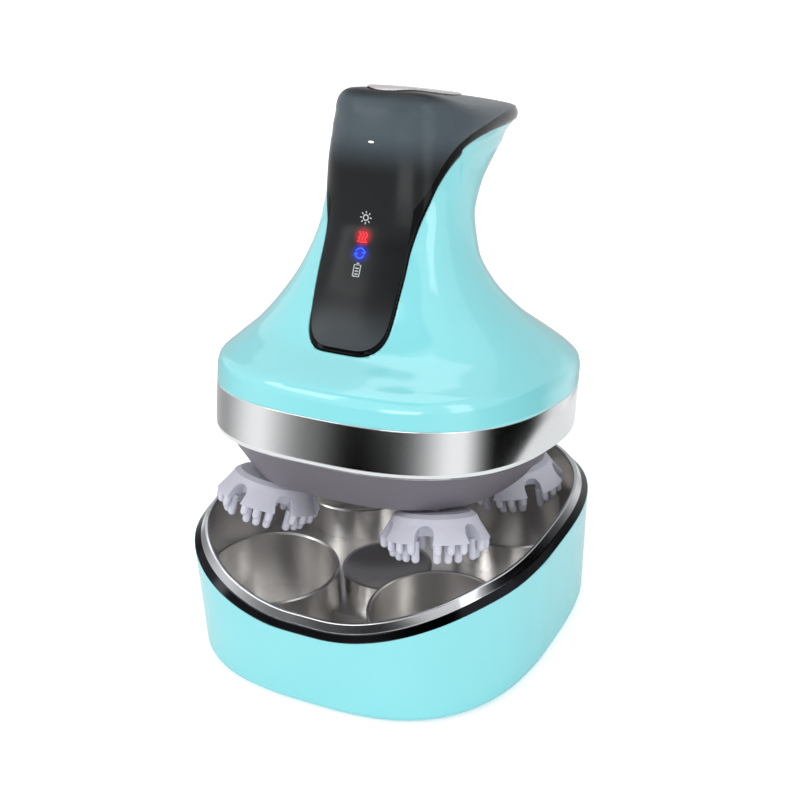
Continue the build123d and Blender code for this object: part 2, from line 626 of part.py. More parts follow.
def underside_tub():
    """Tapered underside that closes the gearbox and carries the four slanted spindle bosses."""
    rim = RING_SHEET + TUB_FIT
    neck = RING_LIP + TUB_FIT
    full = (ring_prism(rim, TUB_SHOULDER_Z, TUB_TOP_Z) + ring_prism(neck, TUB_TAPER_Z, TUB_SHOULDER_Z)
            + tub_taper(neck, TUB_TAPER_Z, TUB_BOTTOM_INSET, TUB_BOTTOM_Z))
    floor_z = TUB_BOTTOM_Z + TUB_FLOOR
    hollow = (ring_prism(rim + TUB_WALL, TUB_SHOULDER_Z, TUB_TOP_Z + 1)
              + tub_taper(neck + TUB_WALL, TUB_SHOULDER_Z, TUB_BOTTOM_INSET + TUB_WALL, floor_z))
    tub = full - hollow
    for x, y in POST_CENTRES:
        tub = tub + (cylinder(POST_RADIUS, TUB_BOTTOM_Z, TUB_TOP_Z, x, y) & full)
    for place in HEAD_PLACES:
        boss = place * cylinder(BOSS_RADIUS, BOSS_START, LOWER_BUSH_END)
        tub = tub + boss
    for place in HEAD_PLACES:
        tub = tub - place * cylinder(BUSH_RADIUS, 0, LOWER_BUSH_END + 3)
        tub = tub - place * cylinder(SEAL_RADIUS, -6, BOSS_START + SEAL_HEIGHT)
    for x, y in POST_CENTRES:
        tub = tub - cylinder(SCREW_RADIUS + 0.25, TUB_BOTTOM_Z - 1, TUB_TOP_Z + 1, x, y)
        tub = tub - cylinder(SCREW_HEAD_RADIUS + 0.25, TUB_BOTTOM_Z - 1, SCREW_SEAT_Z, x, y)
    return tub


def gearbox_cover():
    """Plate over the gears. It carries the upper bushes and the motor."""
    plate = ring_prism(RING_SHEET + TUB_FIT, TUB_TOP_Z, 0.0)
    for place in HEAD_PLACES:
        plate = plate + place * cylinder(BOSS_RADIUS, UPPER_BUSH_START, UPPER_BUSH_START + UPPER_BUSH_LENGTH + 0.8)
    for place in HEAD_PLACES:
        plate = plate - place * cylinder(BUSH_RADIUS, UPPER_BUSH_START - 8, UPPER_BUSH_START + UPPER_BUSH_LENGTH)
    for x, y in POST_CENTRES:
        plate = plate - cylinder(SCREW_RADIUS + 0.25, -5, 2, x, y)
    return plate - cylinder(SHAFT_RADIUS + 1.5, -5, 2)


def underside_screws():
    return Compound([screw(x, y, SCREW_SEAT_Z, SCREW_BITE) for x, y in POST_CENTRES])


def gear_motor():
    """Closed gear motor: a plain gearhead below, the motor can with its end cap above."""
    neck = MOTOR_GEARHEAD_LENGTH
    can = MOTOR_RADIUS - 0.5
    return turned([(SHAFT_RADIUS + 0.05, 0), (MOTOR_RADIUS, 0), (MOTOR_RADIUS, neck), (can, neck + 0.4),
                   (can, MOTOR_LENGTH - 1), (can - 1, MOTOR_LENGTH), (0, MOTOR_LENGTH), (0, neck),
                   (SHAFT_RADIUS + 0.05, neck)])


TRAY_Z = MOTOR_LENGTH + 0.1
TRAY_FLOOR_Z = TRAY_Z + 1.6
TRAY_TOP_Z = SWITCH_BOARD_Z - BOARD_SHEET


def inner_chassis(cavity):
    """Plastic frame: a sleeve round the motor and a tray for the battery above it."""
    sleeve = ring_tube(MOTOR_RADIUS + CHASSIS_WALL, MOTOR_RADIUS + 0.1, 0, TRAY_FLOOR_Z)
    lid = cylinder(MOTOR_RADIUS + CHASSIS_WALL, TRAY_Z, TRAY_FLOOR_Z)
    half_x = BATTERY_HALF_X + TRAY_WALL
    walls = block(-half_x, half_x, BATTERY_FRONT_Y - TRAY_WALL, BATTERY_BACK_Y + TRAY_WALL, TRAY_Z, TRAY_TOP_Z)
    walls = walls - block(-BATTERY_HALF_X - 0.1, BATTERY_HALF_X + 0.1, BATTERY_FRONT_Y - 0.1,
                          BATTERY_BACK_Y + 0.1, TRAY_FLOOR_Z, TRAY_TOP_Z + 1)
    shelf = block(-half_x, half_x, BATTERY_FRONT_Y - TRAY_WALL, 0, TRAY_Z, TRAY_FLOOR_Z)
    foot = ring_tube(MOTOR_RADIUS + CHASSIS_WALL + 6, MOTOR_RADIUS + 0.1, 0, 1.6)
    return (sleeve + lid + walls + shelf + foot) & (Pos(0, -0.4, 0) * cavity)


def battery_pack():
    case = block(-BATTERY_HALF_X, BATTERY_HALF_X, BATTERY_FRONT_Y, BATTERY_BACK_Y,
                 TRAY_FLOOR_Z, TRAY_FLOOR_Z + BATTERY_LENGTH)
    return fillet(case.edges().filter_by(Axis.Z), 4.0)


MAIN_BOARD_Y = BATTERY_FRONT_Y - TRAY_WALL - 0.1


def main_board():
    board = block(-11, 11, MAIN_BOARD_Y - BOARD_SHEET, MAIN_BOARD_Y, 30, TRAY_TOP_Z)
    chip = block(-4, 4, MAIN_BOARD_Y - BOARD_SHEET - 1.2, MAIN_BOARD_Y - BOARD_SHEET, 72, 80)
    return board + chip


def icon_light_guide(cavity):
    """Clear block that carries the four lamps' light to the panel's inner face."""
    return block(-4.5, 4.5, -60, MAIN_BOARD_Y - BOARD_SHEET, 38, 64) & (Pos(0, 0.1, 0) * cavity)


def charging_receiver():
    """Flat coil on the tub's floor, over the dock's coil when docked."""
    floor_z = TUB_BOTTOM_Z + TUB_FLOOR
    return ring_tube(COIL_RADIUS, COIL_HOLE, floor_z, floor_z + COIL_SHEET, 0, ISLAND_Y)


def receiver_ferrite():
    low = TUB_BOTTOM_Z + TUB_FLOOR + COIL_SHEET
    return cylinder(COIL_RADIUS + 0.6, low, low + FERRITE_SHEET, 0, ISLAND_Y)


# ---------------------------------------------------------------- gears and claw heads
BUSH_RADIUS = SPINDLE_RADIUS + RUNNING_FIT + BUSH_WALL
BOSS_RADIUS = BUSH_RADIUS + BOSS_WALL
SEAL_RADIUS = BUSH_RADIUS + 0.6
HEAD_REACH = hypot(HEAD_X, HEAD_Y)
SPLAY = radians(HEAD_SPLAY)
APEX_Z = HEAD_TOP_Z + HEAD_REACH / tan(SPLAY)      # the slanted axes meet the handle's axis here
APEX_LENGTH = HEAD_REACH / sin(SPLAY)
DRIVE_CONE = atan(sin(SPLAY) / (HEAD_TEETH / DRIVE_TEETH + cos(SPLAY)))
HEAD_CONE = SPLAY - DRIVE_CONE
DRIVE_PITCH_RADIUS = (APEX_Z - GEAR_PLANE_Z) * tan(DRIVE_CONE)
PITCH_LENGTH = (APEX_Z - GEAR_PLANE_Z) / cos(DRIVE_CONE)
HEAD_PITCH_RADIUS = PITCH_LENGTH * sin(HEAD_CONE)
HEAD_GEAR_Z = APEX_LENGTH - PITCH_LENGTH * cos(HEAD_CONE)
MODULE = 2 * DRIVE_PITCH_RADIUS / DRIVE_TEETH
UPPER_BUSH_START = HEAD_GEAR_Z + GEAR_FACE / 2 + GEAR_TO_BUSH
SPINDLE_TOP = UPPER_BUSH_START + UPPER_BUSH_LENGTH - 0.3


def head_direction(side_x, side_y):
    return atan2(side_y * HEAD_Y, side_x * HEAD_X)


def head_place(side_x, side_y):
    """Place of a head frame in the hand frame: on top of the head, +Z up the slanted spindle."""
    turn = head_direction(side_x, side_y)
    outward = Vector(cos(turn), sin(turn), 0)
    up = Vector(0, 0, 1)
    origin = Vector(side_x * HEAD_X, side_y * HEAD_Y, HEAD_TOP_Z)
    x_dir = outward * cos(SPLAY) + up * sin(SPLAY)
    z_dir = up * cos(SPLAY) - outward * sin(SPLAY)
    return Plane(origin=origin, x_dir=x_dir, z_dir=z_dir).location


HEAD_SIDES = {"front_left": (-1, -1), "front_right": (1, -1), "rear_right": (1, 1), "rear_left": (-1, 1)}
HEAD_PLACES = [head_place(*sides) for sides in HEAD_SIDES.values()]


def gear_outline(teeth, pitch_radius, scale, z, phase):
    """Closed tooth outline. `phase` is the angle of one tooth's middle."""
    pitch = 2 * pi / teeth
    points = []
    for tooth in range(teeth):
        middle = phase + tooth * pitch
        for radius, offset in ((pitch_radius - 1.3 * MODULE, -0.33), (pitch_radius + 0.95 * MODULE, -0.11),
                               (pitch_radius + 0.95 * MODULE, 0.11), (pitch_radius - 1.3 * MODULE, 0.33)):
            angle = middle + offset * pitch
            points.append((scale * radius * cos(angle), scale * radius * sin(angle), z))
    return Wire.make_polygon([Vector(*point) for point in points], close=True)


def tapered_gear(teeth, pitch_radius, apex_distance, centre_z, phase):
    """Shallow bevel gear: the tooth outline shrinks towards the apex above it."""
    wires = []
    for offset in (-GEAR_FACE / 2, GEAR_FACE / 2):
        scale = (apex_distance - offset) / apex_distance
        wires.append(gear_outline(teeth, pitch_radius, scale, centre_z + offset, phase))
    return Solid.make_loft(wires, ruled=True)


def drive_gear():
    gear = tapered_gear(DRIVE_TEETH, DRIVE_PITCH_RADIUS, APEX_Z - GEAR_PLANE_Z, GEAR_PLANE_Z, 0.0)
    groove = ring_tube(DRIVE_PITCH_RADIUS - 4, SHAFT_RADIUS + 3, GEAR_PLANE_Z + 0.8, GEAR_PLANE_Z + 4)
    hub = cylinder(SHAFT_RADIUS + 2, GEAR_PLANE_Z - GEAR_FACE / 2, GEAR_PLANE_Z + GEAR_FACE / 2 + 2)
    return gear - groove + hub - cylinder(SHAFT_RADIUS, -40, 10)


def drive_shaft():
    return cylinder(SHAFT_RADIUS, GEAR_PLANE_Z - GEAR_FACE / 2 - 1, MOTOR_GEARHEAD_LENGTH - 0.5)


def head_gear(side_x, side_y):
    """Gear on a spindle, with its teeth set between those of the drive gear."""
    pitch = 2 * pi / DRIVE_TEETH
    turn = head_direction(side_x, side_y)
    to_tooth = round(turn / pitch) * pitch - turn
    gap_angle = pi - to_tooth * DRIVE_TEETH / HEAD_TEETH
    phase = gap_angle + pi / HEAD_TEETH
    gear = tapered_gear(HEAD_TEETH, HEAD_PITCH_RADIUS, PITCH_LENGTH * cos(HEAD_CONE), HEAD_GEAR_Z, phase)
    groove = ring_tube(HEAD_PITCH_RADIUS - 4, SPINDLE_RADIUS + 3, HEAD_GEAR_Z + 0.8, HEAD_GEAR_Z + 4)
    return gear - groove - cylinder(SPINDLE_RADIUS, 0, 40)


def head_spindle():
    return turned([(0, -7.0), (SPINDLE_RADIUS, -7.0), (SPINDLE_RADIUS, SPINDLE_TOP - 0.4),
                   (SPINDLE_RADIUS - 0.4, SPINDLE_TOP), (0, SPINDLE_TOP)])


def head_hub():
    """Hard disc inside the silicone head, fixed to the spindle."""
    return turned([(SPINDLE_RADIUS, -8.0), (4.2, -8.0), (4.2, -4.6), (HUB_RADIUS, -4.6), (HUB_RADIUS, -2.3),
                   (SPINDLE_RADIUS, -2.3)])


def nub(radius_out, angle, top, tip):
    """Round-tipped finger of silicone."""
    x, y = radius_out * cos(angle), radius_out * sin(angle)
    return cylinder(NUB_RADIUS, tip + NUB_RADIUS, top, x, y) + Pos(x, y, tip + NUB_RADIUS) * Sphere(NUB_RADIUS)


def massage_claw():
    """Silicone head: a crown cut into petals by arched gaps, with two rows of nubs under each petal."""
    edge = -PETAL_EDGE_DROP
    crown = turned([(SPINDLE_RADIUS + 0.7, 0), (CROWN_RADIUS - 1.7, 0), (CROWN_RADIUS, -1.2),
                    (CROWN_RADIUS + 1.0, -3.2), (PETAL_RADIUS, edge), (HUB_RADIUS + 1.4, edge),
                    (HUB_RADIUS, edge + 2), (HUB_RADIUS, -2.3), (SPINDLE_RADIUS + 0.7, -2.3)])
    arch = PETAL_GAP / 2
    arch_top = -3.0
    gap = block(HUB_RADIUS + 0.1, PETAL_RADIUS + 3, -arch, arch, edge - 2, arch_top - arch)
    gap = gap + Pos(HUB_RADIUS + 5, 0, arch_top - arch) * Rot(0, 90, 0) * Cylinder(arch, 9.8)
    nubs = None
    spread = 15.0
    rows = ((PETAL_RADIUS - 1.5, -OUTER_NUB_DROP, (-spread, 0.0, spread)),
            (PETAL_RADIUS - 4.3, -NUB_DROP, (-spread, 0.0, spread)))
    for radius_out, tip, angles in rows:
        for angle in angles:
            finger = nub(radius_out, radians(angle), edge + 0.5, tip)
            nubs = finger if nubs is None else nubs + finger
    claw = crown
    for petal in range(PETALS):
        turn = 360.0 / PETALS * petal
        claw = claw - Rot(0, 0, turn + 180.0 / PETALS) * gap
    for petal in range(PETALS):
        claw = claw + Rot(0, 0, 360.0 / PETALS * petal) * nubs
    return claw


def bush(low, high):
    return ring_tube(BUSH_RADIUS, SPINDLE_RADIUS + RUNNING_FIT, low, high)


def spindle_seal():
    """Rubber lip seal round a spindle, in the boss under the bush."""
    return turned([(SPINDLE_RADIUS + 0.08, BOSS_START + 0.5), (SPINDLE_RADIUS + 0.9, BOSS_START),
                   (SEAL_RADIUS, BOSS_START), (SEAL_RADIUS, BOSS_START + SEAL_HEIGHT),
                   (SPINDLE_RADIUS + 0.9, BOSS_START + SEAL_HEIGHT), (SPINDLE_RADIUS + 0.08, BOSS_START + 0.9)])


# ---------------------------------------------------------------- build
HAND_PLACE = Pos(0, LIFT_Y, LIFT_Z) * Rot(-LEAN, 0, 0)


def build_dock():
    save("dock_shell", dock_shell())
    save("dock_rim_trim", dock_rim_trim())
    save("dock_liner", dock_liner())
    save("dock_deck", dock_deck())
    for name, (x, y) in WELL_SIDES.items():
        save(f"well_insert_{name}", well_insert(x * WELL_X, y * WELL_Y))
    save("dock_base_cover", dock_base_cover())
    save("dock_feet", dock_feet())
    save("dock_screws", dock_screws())
    save("dock_charging_coil", dock_charging_coil())
    save("dock_ferrite_disc", dock_ferrite_disc())
    save("dock_charging_board", dock_charging_board())
    save("dock_power_socket", dock_power_socket())


def save_in_hand(name, shape):
    save(name, HAND_PLACE * shape)


def build_hand_unit():
    blank = handle_blank()
    cavity = handle_cavity()
    save_in_hand("bell_housing", bell_housing(blank, cavity))
    save_in_hand("front_cover", front_cover(blank, cavity))
    save_in_hand("power_button", power_button())
    save_in_hand("tact_switch", tact_switch())
    save_in_hand("switch_board", switch_board())
    save_in_hand("chrome_ring", chrome_ring())
    save_in_hand("underside_tub", underside_tub())
    save_in_hand("gearbox_cover", gearbox_cover())
    save_in_hand("underside_screws", underside_screws())
    save_in_hand("gear_motor", gear_motor())
    save_in_hand("inner_chassis", inner_chassis(cavity))
    save_in_hand("battery_pack", battery_pack())
    save_in_hand("main_board", main_board())
    save_in_hand("icon_light_guide", icon_light_guide(cavity))
    save_in_hand("charging_receiver", charging_receiver())
    save_in_hand("receiver_ferrite", receiver_ferrite())
    save_in_hand("drive_gear", drive_gear())
    save_in_hand("drive_shaft", drive_shaft())


def build_heads():
    claw = massage_claw()
    hub = head_hub()
    spindle = head_spindle()
    lower_bush = bush(BOSS_START + SEAL_HEIGHT, LOWER_BUSH_END)
    upper_bush = bush(UPPER_BUSH_START, UPPER_BUSH_START + UPPER_BUSH_LENGTH)
    seal = spindle_seal()
    for (name, sides), place in zip(HEAD_SIDES.items(), HEAD_PLACES):
        save_in_hand(f"massage_claw_{name}", place * claw)
        save_in_hand(f"head_hub_{name}", place * hub)
        save_in_hand(f"head_spindle_{name}", place * spindle)
        save_in_hand(f"head_gear_{name}", place * head_gear(*sides))
        save_in_hand(f"lower_bush_{name}", place * lower_bush)
        save_in_hand(f"upper_bush_{name}", place * upper_bush)
    save_in_hand("spindle_seals", Compound([place * seal for place in HEAD_PLACES]))


os.makedirs("parts", exist_ok=True)
build_dock()
build_hand_unit()
build_heads()
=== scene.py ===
"""Looks of a cordless scalp massager lifted above its charging dock.

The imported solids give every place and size. The bell, its black cover, the power button, the
handle's metal ring and the trim on the dock's edge get finer meshes here, and the panel gets its
signs. Every other solid keeps its shape and gets its finish. The pieces' sizes are in millimetres
in their classes and turn into metres where a mesh is made.
"""

import json
import logging
import math
from dataclasses import dataclass, field
from enum import Enum
from typing import Any, Callable, Iterable, Sequence

import bmesh
import bpy
import numpy as np
from mathutils import Matrix, Vector


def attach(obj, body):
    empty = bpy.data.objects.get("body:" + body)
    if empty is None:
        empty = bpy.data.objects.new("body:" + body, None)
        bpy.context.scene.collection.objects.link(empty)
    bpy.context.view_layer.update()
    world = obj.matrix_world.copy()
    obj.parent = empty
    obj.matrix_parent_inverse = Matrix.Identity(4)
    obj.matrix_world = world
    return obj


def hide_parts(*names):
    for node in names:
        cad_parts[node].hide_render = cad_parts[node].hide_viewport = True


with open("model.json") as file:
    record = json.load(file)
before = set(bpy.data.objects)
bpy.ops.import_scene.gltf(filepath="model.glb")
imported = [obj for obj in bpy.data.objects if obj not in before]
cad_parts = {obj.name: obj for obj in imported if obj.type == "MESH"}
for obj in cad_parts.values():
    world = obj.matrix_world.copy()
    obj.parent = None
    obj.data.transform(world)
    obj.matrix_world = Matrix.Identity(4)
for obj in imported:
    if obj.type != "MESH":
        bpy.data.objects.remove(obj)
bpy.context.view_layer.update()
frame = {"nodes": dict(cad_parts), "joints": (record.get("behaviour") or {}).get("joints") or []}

LOG = logging.getLogger("scalp_massager")
MM = 0.001
Knots = Sequence[tuple[float, ...]]

# noise values between which a finish's second tone fades in
PATCH_FADE = (0.35, 0.7)
LEAST_ROUGHNESS = 0.01
# distance into an area that stands for well outside it, in millimetres
FAR_OUTSIDE = -50.0


# ---------------------------------------------------------------- colours and nodes
def linear(hex_colour: str) -> tuple[float, float, float, float]:
    """Turns an sRGB hex colour into linear light.

    Args:
        hex_colour: Six hex digits, without a sign in front.

    Returns:
        Linear red, green, blue and an alpha of one.
    """
    channels = [int(hex_colour[i:i + 2], 16) / 255 for i in (0, 2, 4)]
    light = [c / 12.92 if c <= 0.04045 else ((c + 0.055) / 1.055) ** 2.4 for c in channels]
    return (light[0], light[1], light[2], 1.0)


def add_node(tree: bpy.types.NodeTree, kind: str, settings: dict[str, Any] | None = None,
             links: dict[Any, Any] | None = None) -> bpy.types.Node:
    """Adds one node with its settings and the links that feed it.

    Args:
        tree: The node tree that the node goes into.
        kind: Blender's name of the node's type.
        settings: Attributes by name, and values of input sockets by name or number.
        links: Output sockets by the name or number of the input that they feed.

    Returns:
        The new node.
    """
    node = tree.nodes.new(kind)
    for key, value in (settings or {}).items():
        if isinstance(key, str) and hasattr(node, key):
            setattr(node, key, value)
        else:
            node.inputs[key].default_value = value
    for key, output in (links or {}).items():
        tree.links.new(output, node.inputs[key])
    return node


def fill_ramp(node: bpy.types.Node,
              stops: Sequence[tuple[float, tuple[float, float, float, float]]]) -> None:
    """Sets the stops of a new colour ramp and eases from each to the next.

    Args:
        node: The ramp's node, which starts with two stops.
        stops: Place from 0 to 1 and colour of each stop, in rising order.
    """
    node.color_ramp.interpolation = "EASE"
    elements = node.color_ramp.elements
    elements[0].position, elements[-1].position = stops[0][0], stops[-1][0]
    for place, _ in stops[1:-1]:
        elements.new(place)
    for element, (_, colour) in zip(elements, stops):
        element.color = colour


@dataclass(frozen=True)
class Finish:
    """What every finish has: a name, a base colour and the gloss of its surface."""

    name: str
    colour: str
    roughness: float = 0.4
    metallic: float = 0.0
    ior: float = 1.5
    coat: float = 0.0
    coat_roughness: float = 0.03
    specular: float = 0.5
    patch_mm: float = 18.0
    patch_colour: str = ""
    patch_share: float = 0.25
    grain_mm: float = 0.5
    grain_depth_mm: float = 0.004
    rough_swing: float = 0.06
    # size of a smudge as a share of a patch, and how finely it breaks up
    smudge_share: float = 0.6
    smudge_detail: float = 4.0

    def material(self) -> bpy.types.Material:
        """Makes the material, or gives back the one made before.

        Returns:
            A material with wide colour patches, a fine bump and uneven gloss.
        """
        made = bpy.data.materials.get(self.name)
        if made is not None:
            return made
        material = bpy.data.materials.new(self.name)
        material.use_nodes = True
        tree = material.node_tree
        tree.nodes.clear()
        place = add_node(tree, "ShaderNodeTexCoord").outputs["Object"]
        shader = add_node(tree, "ShaderNodeBsdfPrincipled", {
            "Metallic": self.metallic, "IOR": self.ior, "Coat Weight": self.coat,
            "Coat Roughness": self.coat_roughness, "Specular IOR Level": self.specular})
        self.dress(tree, shader, place)
        add_node(tree, "ShaderNodeOutputMaterial", links={"Surface": shader.outputs["BSDF"]})
        return material

    def noise(self, tree: bpy.types.NodeTree, place: bpy.types.NodeSocket, size_mm: float,
              detail: float = 2.0) -> bpy.types.Node:
        """Noise whose lumps are about `size_mm` across."""
        return add_node(tree, "ShaderNodeTexNoise", {"Scale": 1 / (size_mm * MM), "Detail": detail},
                        {"Vector": place})

    def dress(self, tree: bpy.types.NodeTree, shader: bpy.types.Node,
              place: bpy.types.NodeSocket) -> None:
        """Feeds the shader's colour, roughness and normal.

        Args:
            tree: The material's node tree.
            shader: The principled shader.
            place: Coordinates in metres on the object.
        """
        self.dress_colour(tree, shader, place)
        self.dress_gloss(tree, shader, place)
        self.dress_grain(tree, shader, place)

    def dress_colour(self, tree: bpy.types.NodeTree, shader: bpy.types.Node,
                     place: bpy.types.NodeSocket) -> None:
        """Mixes a second tone into the base colour in wide, soft patches.

        Args:
            tree: The material's node tree.
            shader: The principled shader.
            place: Coordinates in metres on the object.
        """
        patches = self.noise(tree, place, self.patch_mm)
        fade_from, fade_to = PATCH_FADE
        share = add_node(tree, "ShaderNodeMapRange",
                         {"From Min": fade_from, "From Max": fade_to, "To Max": self.patch_share},
                         {"Value": patches.outputs["Fac"]})
        first, second = linear(self.colour), linear(self.patch_colour or self.colour)
        mix = add_node(tree, "ShaderNodeMix", {"data_type": "RGBA", 6: first, 7: second},
                       {0: share.outputs["Result"]})
        tree.links.new(mix.outputs[2], shader.inputs["Base Color"])

    def dress_gloss(self, tree: bpy.types.NodeTree, shader: bpy.types.Node,
                    place: bpy.types.NodeSocket) -> None:
        """Lets the roughness wander a little, as handling and moulding leave it.

        Args:
            tree: The material's node tree.
            shader: The principled shader.
            place: Coordinates in metres on the object.
        """
        smudge = self.noise(tree, place, self.patch_mm * self.smudge_share, self.smudge_detail)
        smoothest = max(self.roughness - self.rough_swing / 2, LEAST_ROUGHNESS)
        gloss = add_node(tree, "ShaderNodeMapRange",
                         {"To Min": smoothest, "To Max": self.roughness + self.rough_swing},
                         {"Value": smudge.outputs["Fac"]})
        tree.links.new(gloss.outputs["Result"], shader.inputs["Roughness"])

    def dress_grain(self, tree: bpy.types.NodeTree, shader: bpy.types.Node,
                    place: bpy.types.NodeSocket) -> None:
        """Adds the fine surface grain as a bump of real depth.

        Args:
            tree: The material's node tree.
            shader: The principled shader.
            place: Coordinates in metres on the object.
        """
        grain = self.noise(tree, place, self.grain_mm)
        bump = add_node(tree, "ShaderNodeBump", {"Distance": self.grain_depth_mm * MM, "Strength": 1.0},
                        {"Height": grain.outputs["Fac"]})
        tree.links.new(bump.outputs["Normal"], shader.inputs["Normal"])


@dataclass(frozen=True)
class TurnedFinish(Finish):
    """Metal with the fine rings that a lathe or a brush leaves along one axis."""

    ring_mm: float = 0.6
    ring_depth_mm: float = 0.01
    ring_detail: float = 3.0
    # how far the noise changes across the axis for each step along it
    across_share: float = 0.02

    def dress_grain(self, tree: bpy.types.NodeTree, shader: bpy.types.Node,
                    place: bpy.types.NodeSocket) -> None:
        """Stretches the noise into rings across the axis.

        Args:
            tree: The material's node tree.
            shader: The principled shader.
            place: Coordinates in metres on the object.
        """
        stretch = (self.across_share, self.across_share, 1.0)
        mapping = add_node(tree, "ShaderNodeMapping", {"Scale": stretch}, {"Vector": place})
        rings = self.noise(tree, mapping.outputs["Vector"], self.ring_mm, self.ring_detail)
        bump = add_node(tree, "ShaderNodeBump", {"Distance": self.ring_depth_mm * MM, "Strength": 1.0},
                        {"Height": rings.outputs["Fac"]})
        tree.links.new(bump.outputs["Normal"], shader.inputs["Normal"])


@dataclass(frozen=True)
class SiliconeFinish(Finish):
    """Moulded silicone rubber: light goes a little way in, and the skin is satin."""

    depth_mm: float = 1.5
    glow_share: float = 0.18
    # how far red, green and blue light go, as shares of the depth
    reach: tuple[float, float, float] = (1.0, 0.9, 0.9)

    def dress(self, tree: bpy.types.NodeTree, shader: bpy.types.Node,
              place: bpy.types.NodeSocket) -> None:
        """Adds the soft glow of light under the skin to the usual layers.

        Args:
            tree: The material's node tree.
            shader: The principled shader.
            place: Coordinates in metres on the object.
        """
        super().dress(tree, shader, place)
        shader.inputs["Subsurface Weight"].default_value = self.glow_share
        shader.inputs["Subsurface Radius"].default_value = self.reach
        shader.inputs["Subsurface Scale"].default_value = self.depth_mm * MM


class SmokeToneWithPaintedReflection(Enum):
    """The four tones of the smoked plastic, as hex colours, with painted reflection: the paler foot and the
    paler grey under the crown stand for reflected light.
    """

    FOOT = "454B4F"
    BODY = "1B1D1E"
    # painted reflection: paler grey under the crown
    REFLECTED_GREY = "4D585F"
    EDGE = "121416"


@dataclass(frozen=True)
class TintedFinish(Finish):
    """Smoked gloss plastic with painted reflection: its base colour changes with height, paler where
    reflections are painted in, and lamps shine through it.
    """

    # distance up the handle's axis in metres, tint there, with painted reflection
    painted_reflection_tints: tuple[tuple[float, SmokeToneWithPaintedReflection], ...] = ()
    mottle: float = 0.08
    # direction of the handle's axis, and how far along it the handle's seam lies in metres
    axis: tuple[float, float, float] = (0.0, 0.190809, 0.981627)
    axis_start: float = 0.08575
    # lamp behind the plastic in metres, its colour
    lamps: tuple[tuple[tuple[float, float, float], str], ...] = ()
    halo_mm: float = 4.2
    halo_glow: float = 0.55

    def dress_colour(self, tree: bpy.types.NodeTree, shader: bpy.types.Node,
                     place: bpy.types.NodeSocket) -> None:
        """Paints reflections into the patches as a base colour that changes with height, and adds the lamps.

        Args:
            tree: The material's node tree.
            shader: The principled shader.
            place: Coordinates in metres on the object.
        """
        patches = self.noise(tree, place, self.patch_mm)
        height = add_node(tree, "ShaderNodeVectorMath",
                          {"operation": "DOT_PRODUCT", 1: self.axis}, {0: place})
        low, high = self.painted_reflection_tints[0][0], self.painted_reflection_tints[-1][0]
        share = add_node(tree, "ShaderNodeMapRange",
                         {"From Min": self.axis_start + low, "From Max": self.axis_start + high},
                         {"Value": height.outputs["Value"]})
        # painted reflection: a ramp over height makes the base colour paler at the panel's foot and under
        # the crown
        ramp = add_node(tree, "ShaderNodeValToRGB", links={"Fac": share.outputs["Result"]})
        fill_ramp(ramp, [((level - low) / (high - low), linear(tint.value)) for level, tint in self.painted_reflection_tints])
        mottle = add_node(tree, "ShaderNodeMapRange", {"To Min": 1 - self.mottle, "To Max": 1 + self.mottle},
                          {"Value": patches.outputs["Fac"]})
        shade = add_node(tree, "ShaderNodeVectorMath", {"operation": "SCALE"},
                         {0: ramp.outputs["Color"], "Scale": mottle.outputs["Result"]})
        tree.links.new(shade.outputs[0], shader.inputs["Base Color"])
        self.dress_lamps(tree, shader, place)

    def dress_lamps(self, tree: bpy.types.NodeTree, shader: bpy.types.Node,
                    place: bpy.types.NodeSocket) -> None:
        """Adds the light of every lamp, which fades with the distance from it.

        Args:
            tree: The material's node tree.
            shader: The principled shader.
            place: Coordinates in metres on the object.
        """
        total = None
        for centre, colour in self.lamps:
            away = add_node(tree, "ShaderNodeVectorMath", {"operation": "DISTANCE", 1: centre}, {0: place})
            glow = add_node(tree, "ShaderNodeMapRange", {
                "From Max": self.halo_mm * MM, "To Min": 1.0, "To Max": 0.0,
                "interpolation_type": "SMOOTHERSTEP"}, {"Value": away.outputs["Value"]})
            light = add_node(tree, "ShaderNodeVectorMath", {"operation": "SCALE", 0: linear(colour)[:3]},
                             {"Scale": glow.outputs["Result"]}).outputs[0]
            if total is not None:
                light = add_node(tree, "ShaderNodeVectorMath", {"operation": "ADD"},
                                 {0: total, 1: light}).outputs[0]
            total = light
        tree.links.new(total, shader.inputs["Emission Color"])
        shader.inputs["Emission Strength"].default_value = self.halo_glow


@dataclass(frozen=True)
class WoundFinish(Finish):
    """Enamelled copper wire wound in a flat coil round the dock's axis."""

    wire_mm: float = 0.8
    # height of a ridge as a share of the wire
    ridge_share: float = 0.4
    # scale at which the ring texture draws one ridge in each unit of length
    one_ridge: float = 0.314

    def dress_grain(self, tree: bpy.types.NodeTree, shader: bpy.types.Node,
                    place: bpy.types.NodeSocket) -> None:
        """Draws each turn of wire as a round ridge.

        Args:
            tree: The material's node tree.
            shader: The principled shader.
            place: Coordinates in metres on the object.
        """
        scale = self.one_ridge / (self.wire_mm * MM)
        turns = add_node(tree, "ShaderNodeTexWave",
                         {"wave_type": "RINGS", "rings_direction": "Z", "Scale": scale}, {"Vector": place})
        depth = self.wire_mm * self.ridge_share * MM
        bump = add_node(tree, "ShaderNodeBump", {"Distance": depth, "Strength": 1.0},
                        {"Height": turns.outputs["Fac"]})
        tree.links.new(bump.outputs["Normal"], shader.inputs["Normal"])


@dataclass(frozen=True)
class LampFinish(Finish):
    """Printed icon with a lamp behind it."""

    glow: float = 0.0

    def dress(self, tree: bpy.types.NodeTree, shader: bpy.types.Node,
              place: bpy.types.NodeSocket) -> None:
        """Adds the lamp's light to the ink's colour.

        Args:
            tree: The material's node tree.
            shader: The principled shader.
            place: Coordinates in metres on the object.
        """
        super().dress(tree, shader, place)
        shader.inputs["Emission Color"].default_value = linear(self.colour)
        shader.inputs["Emission Strength"].default_value = self.glow


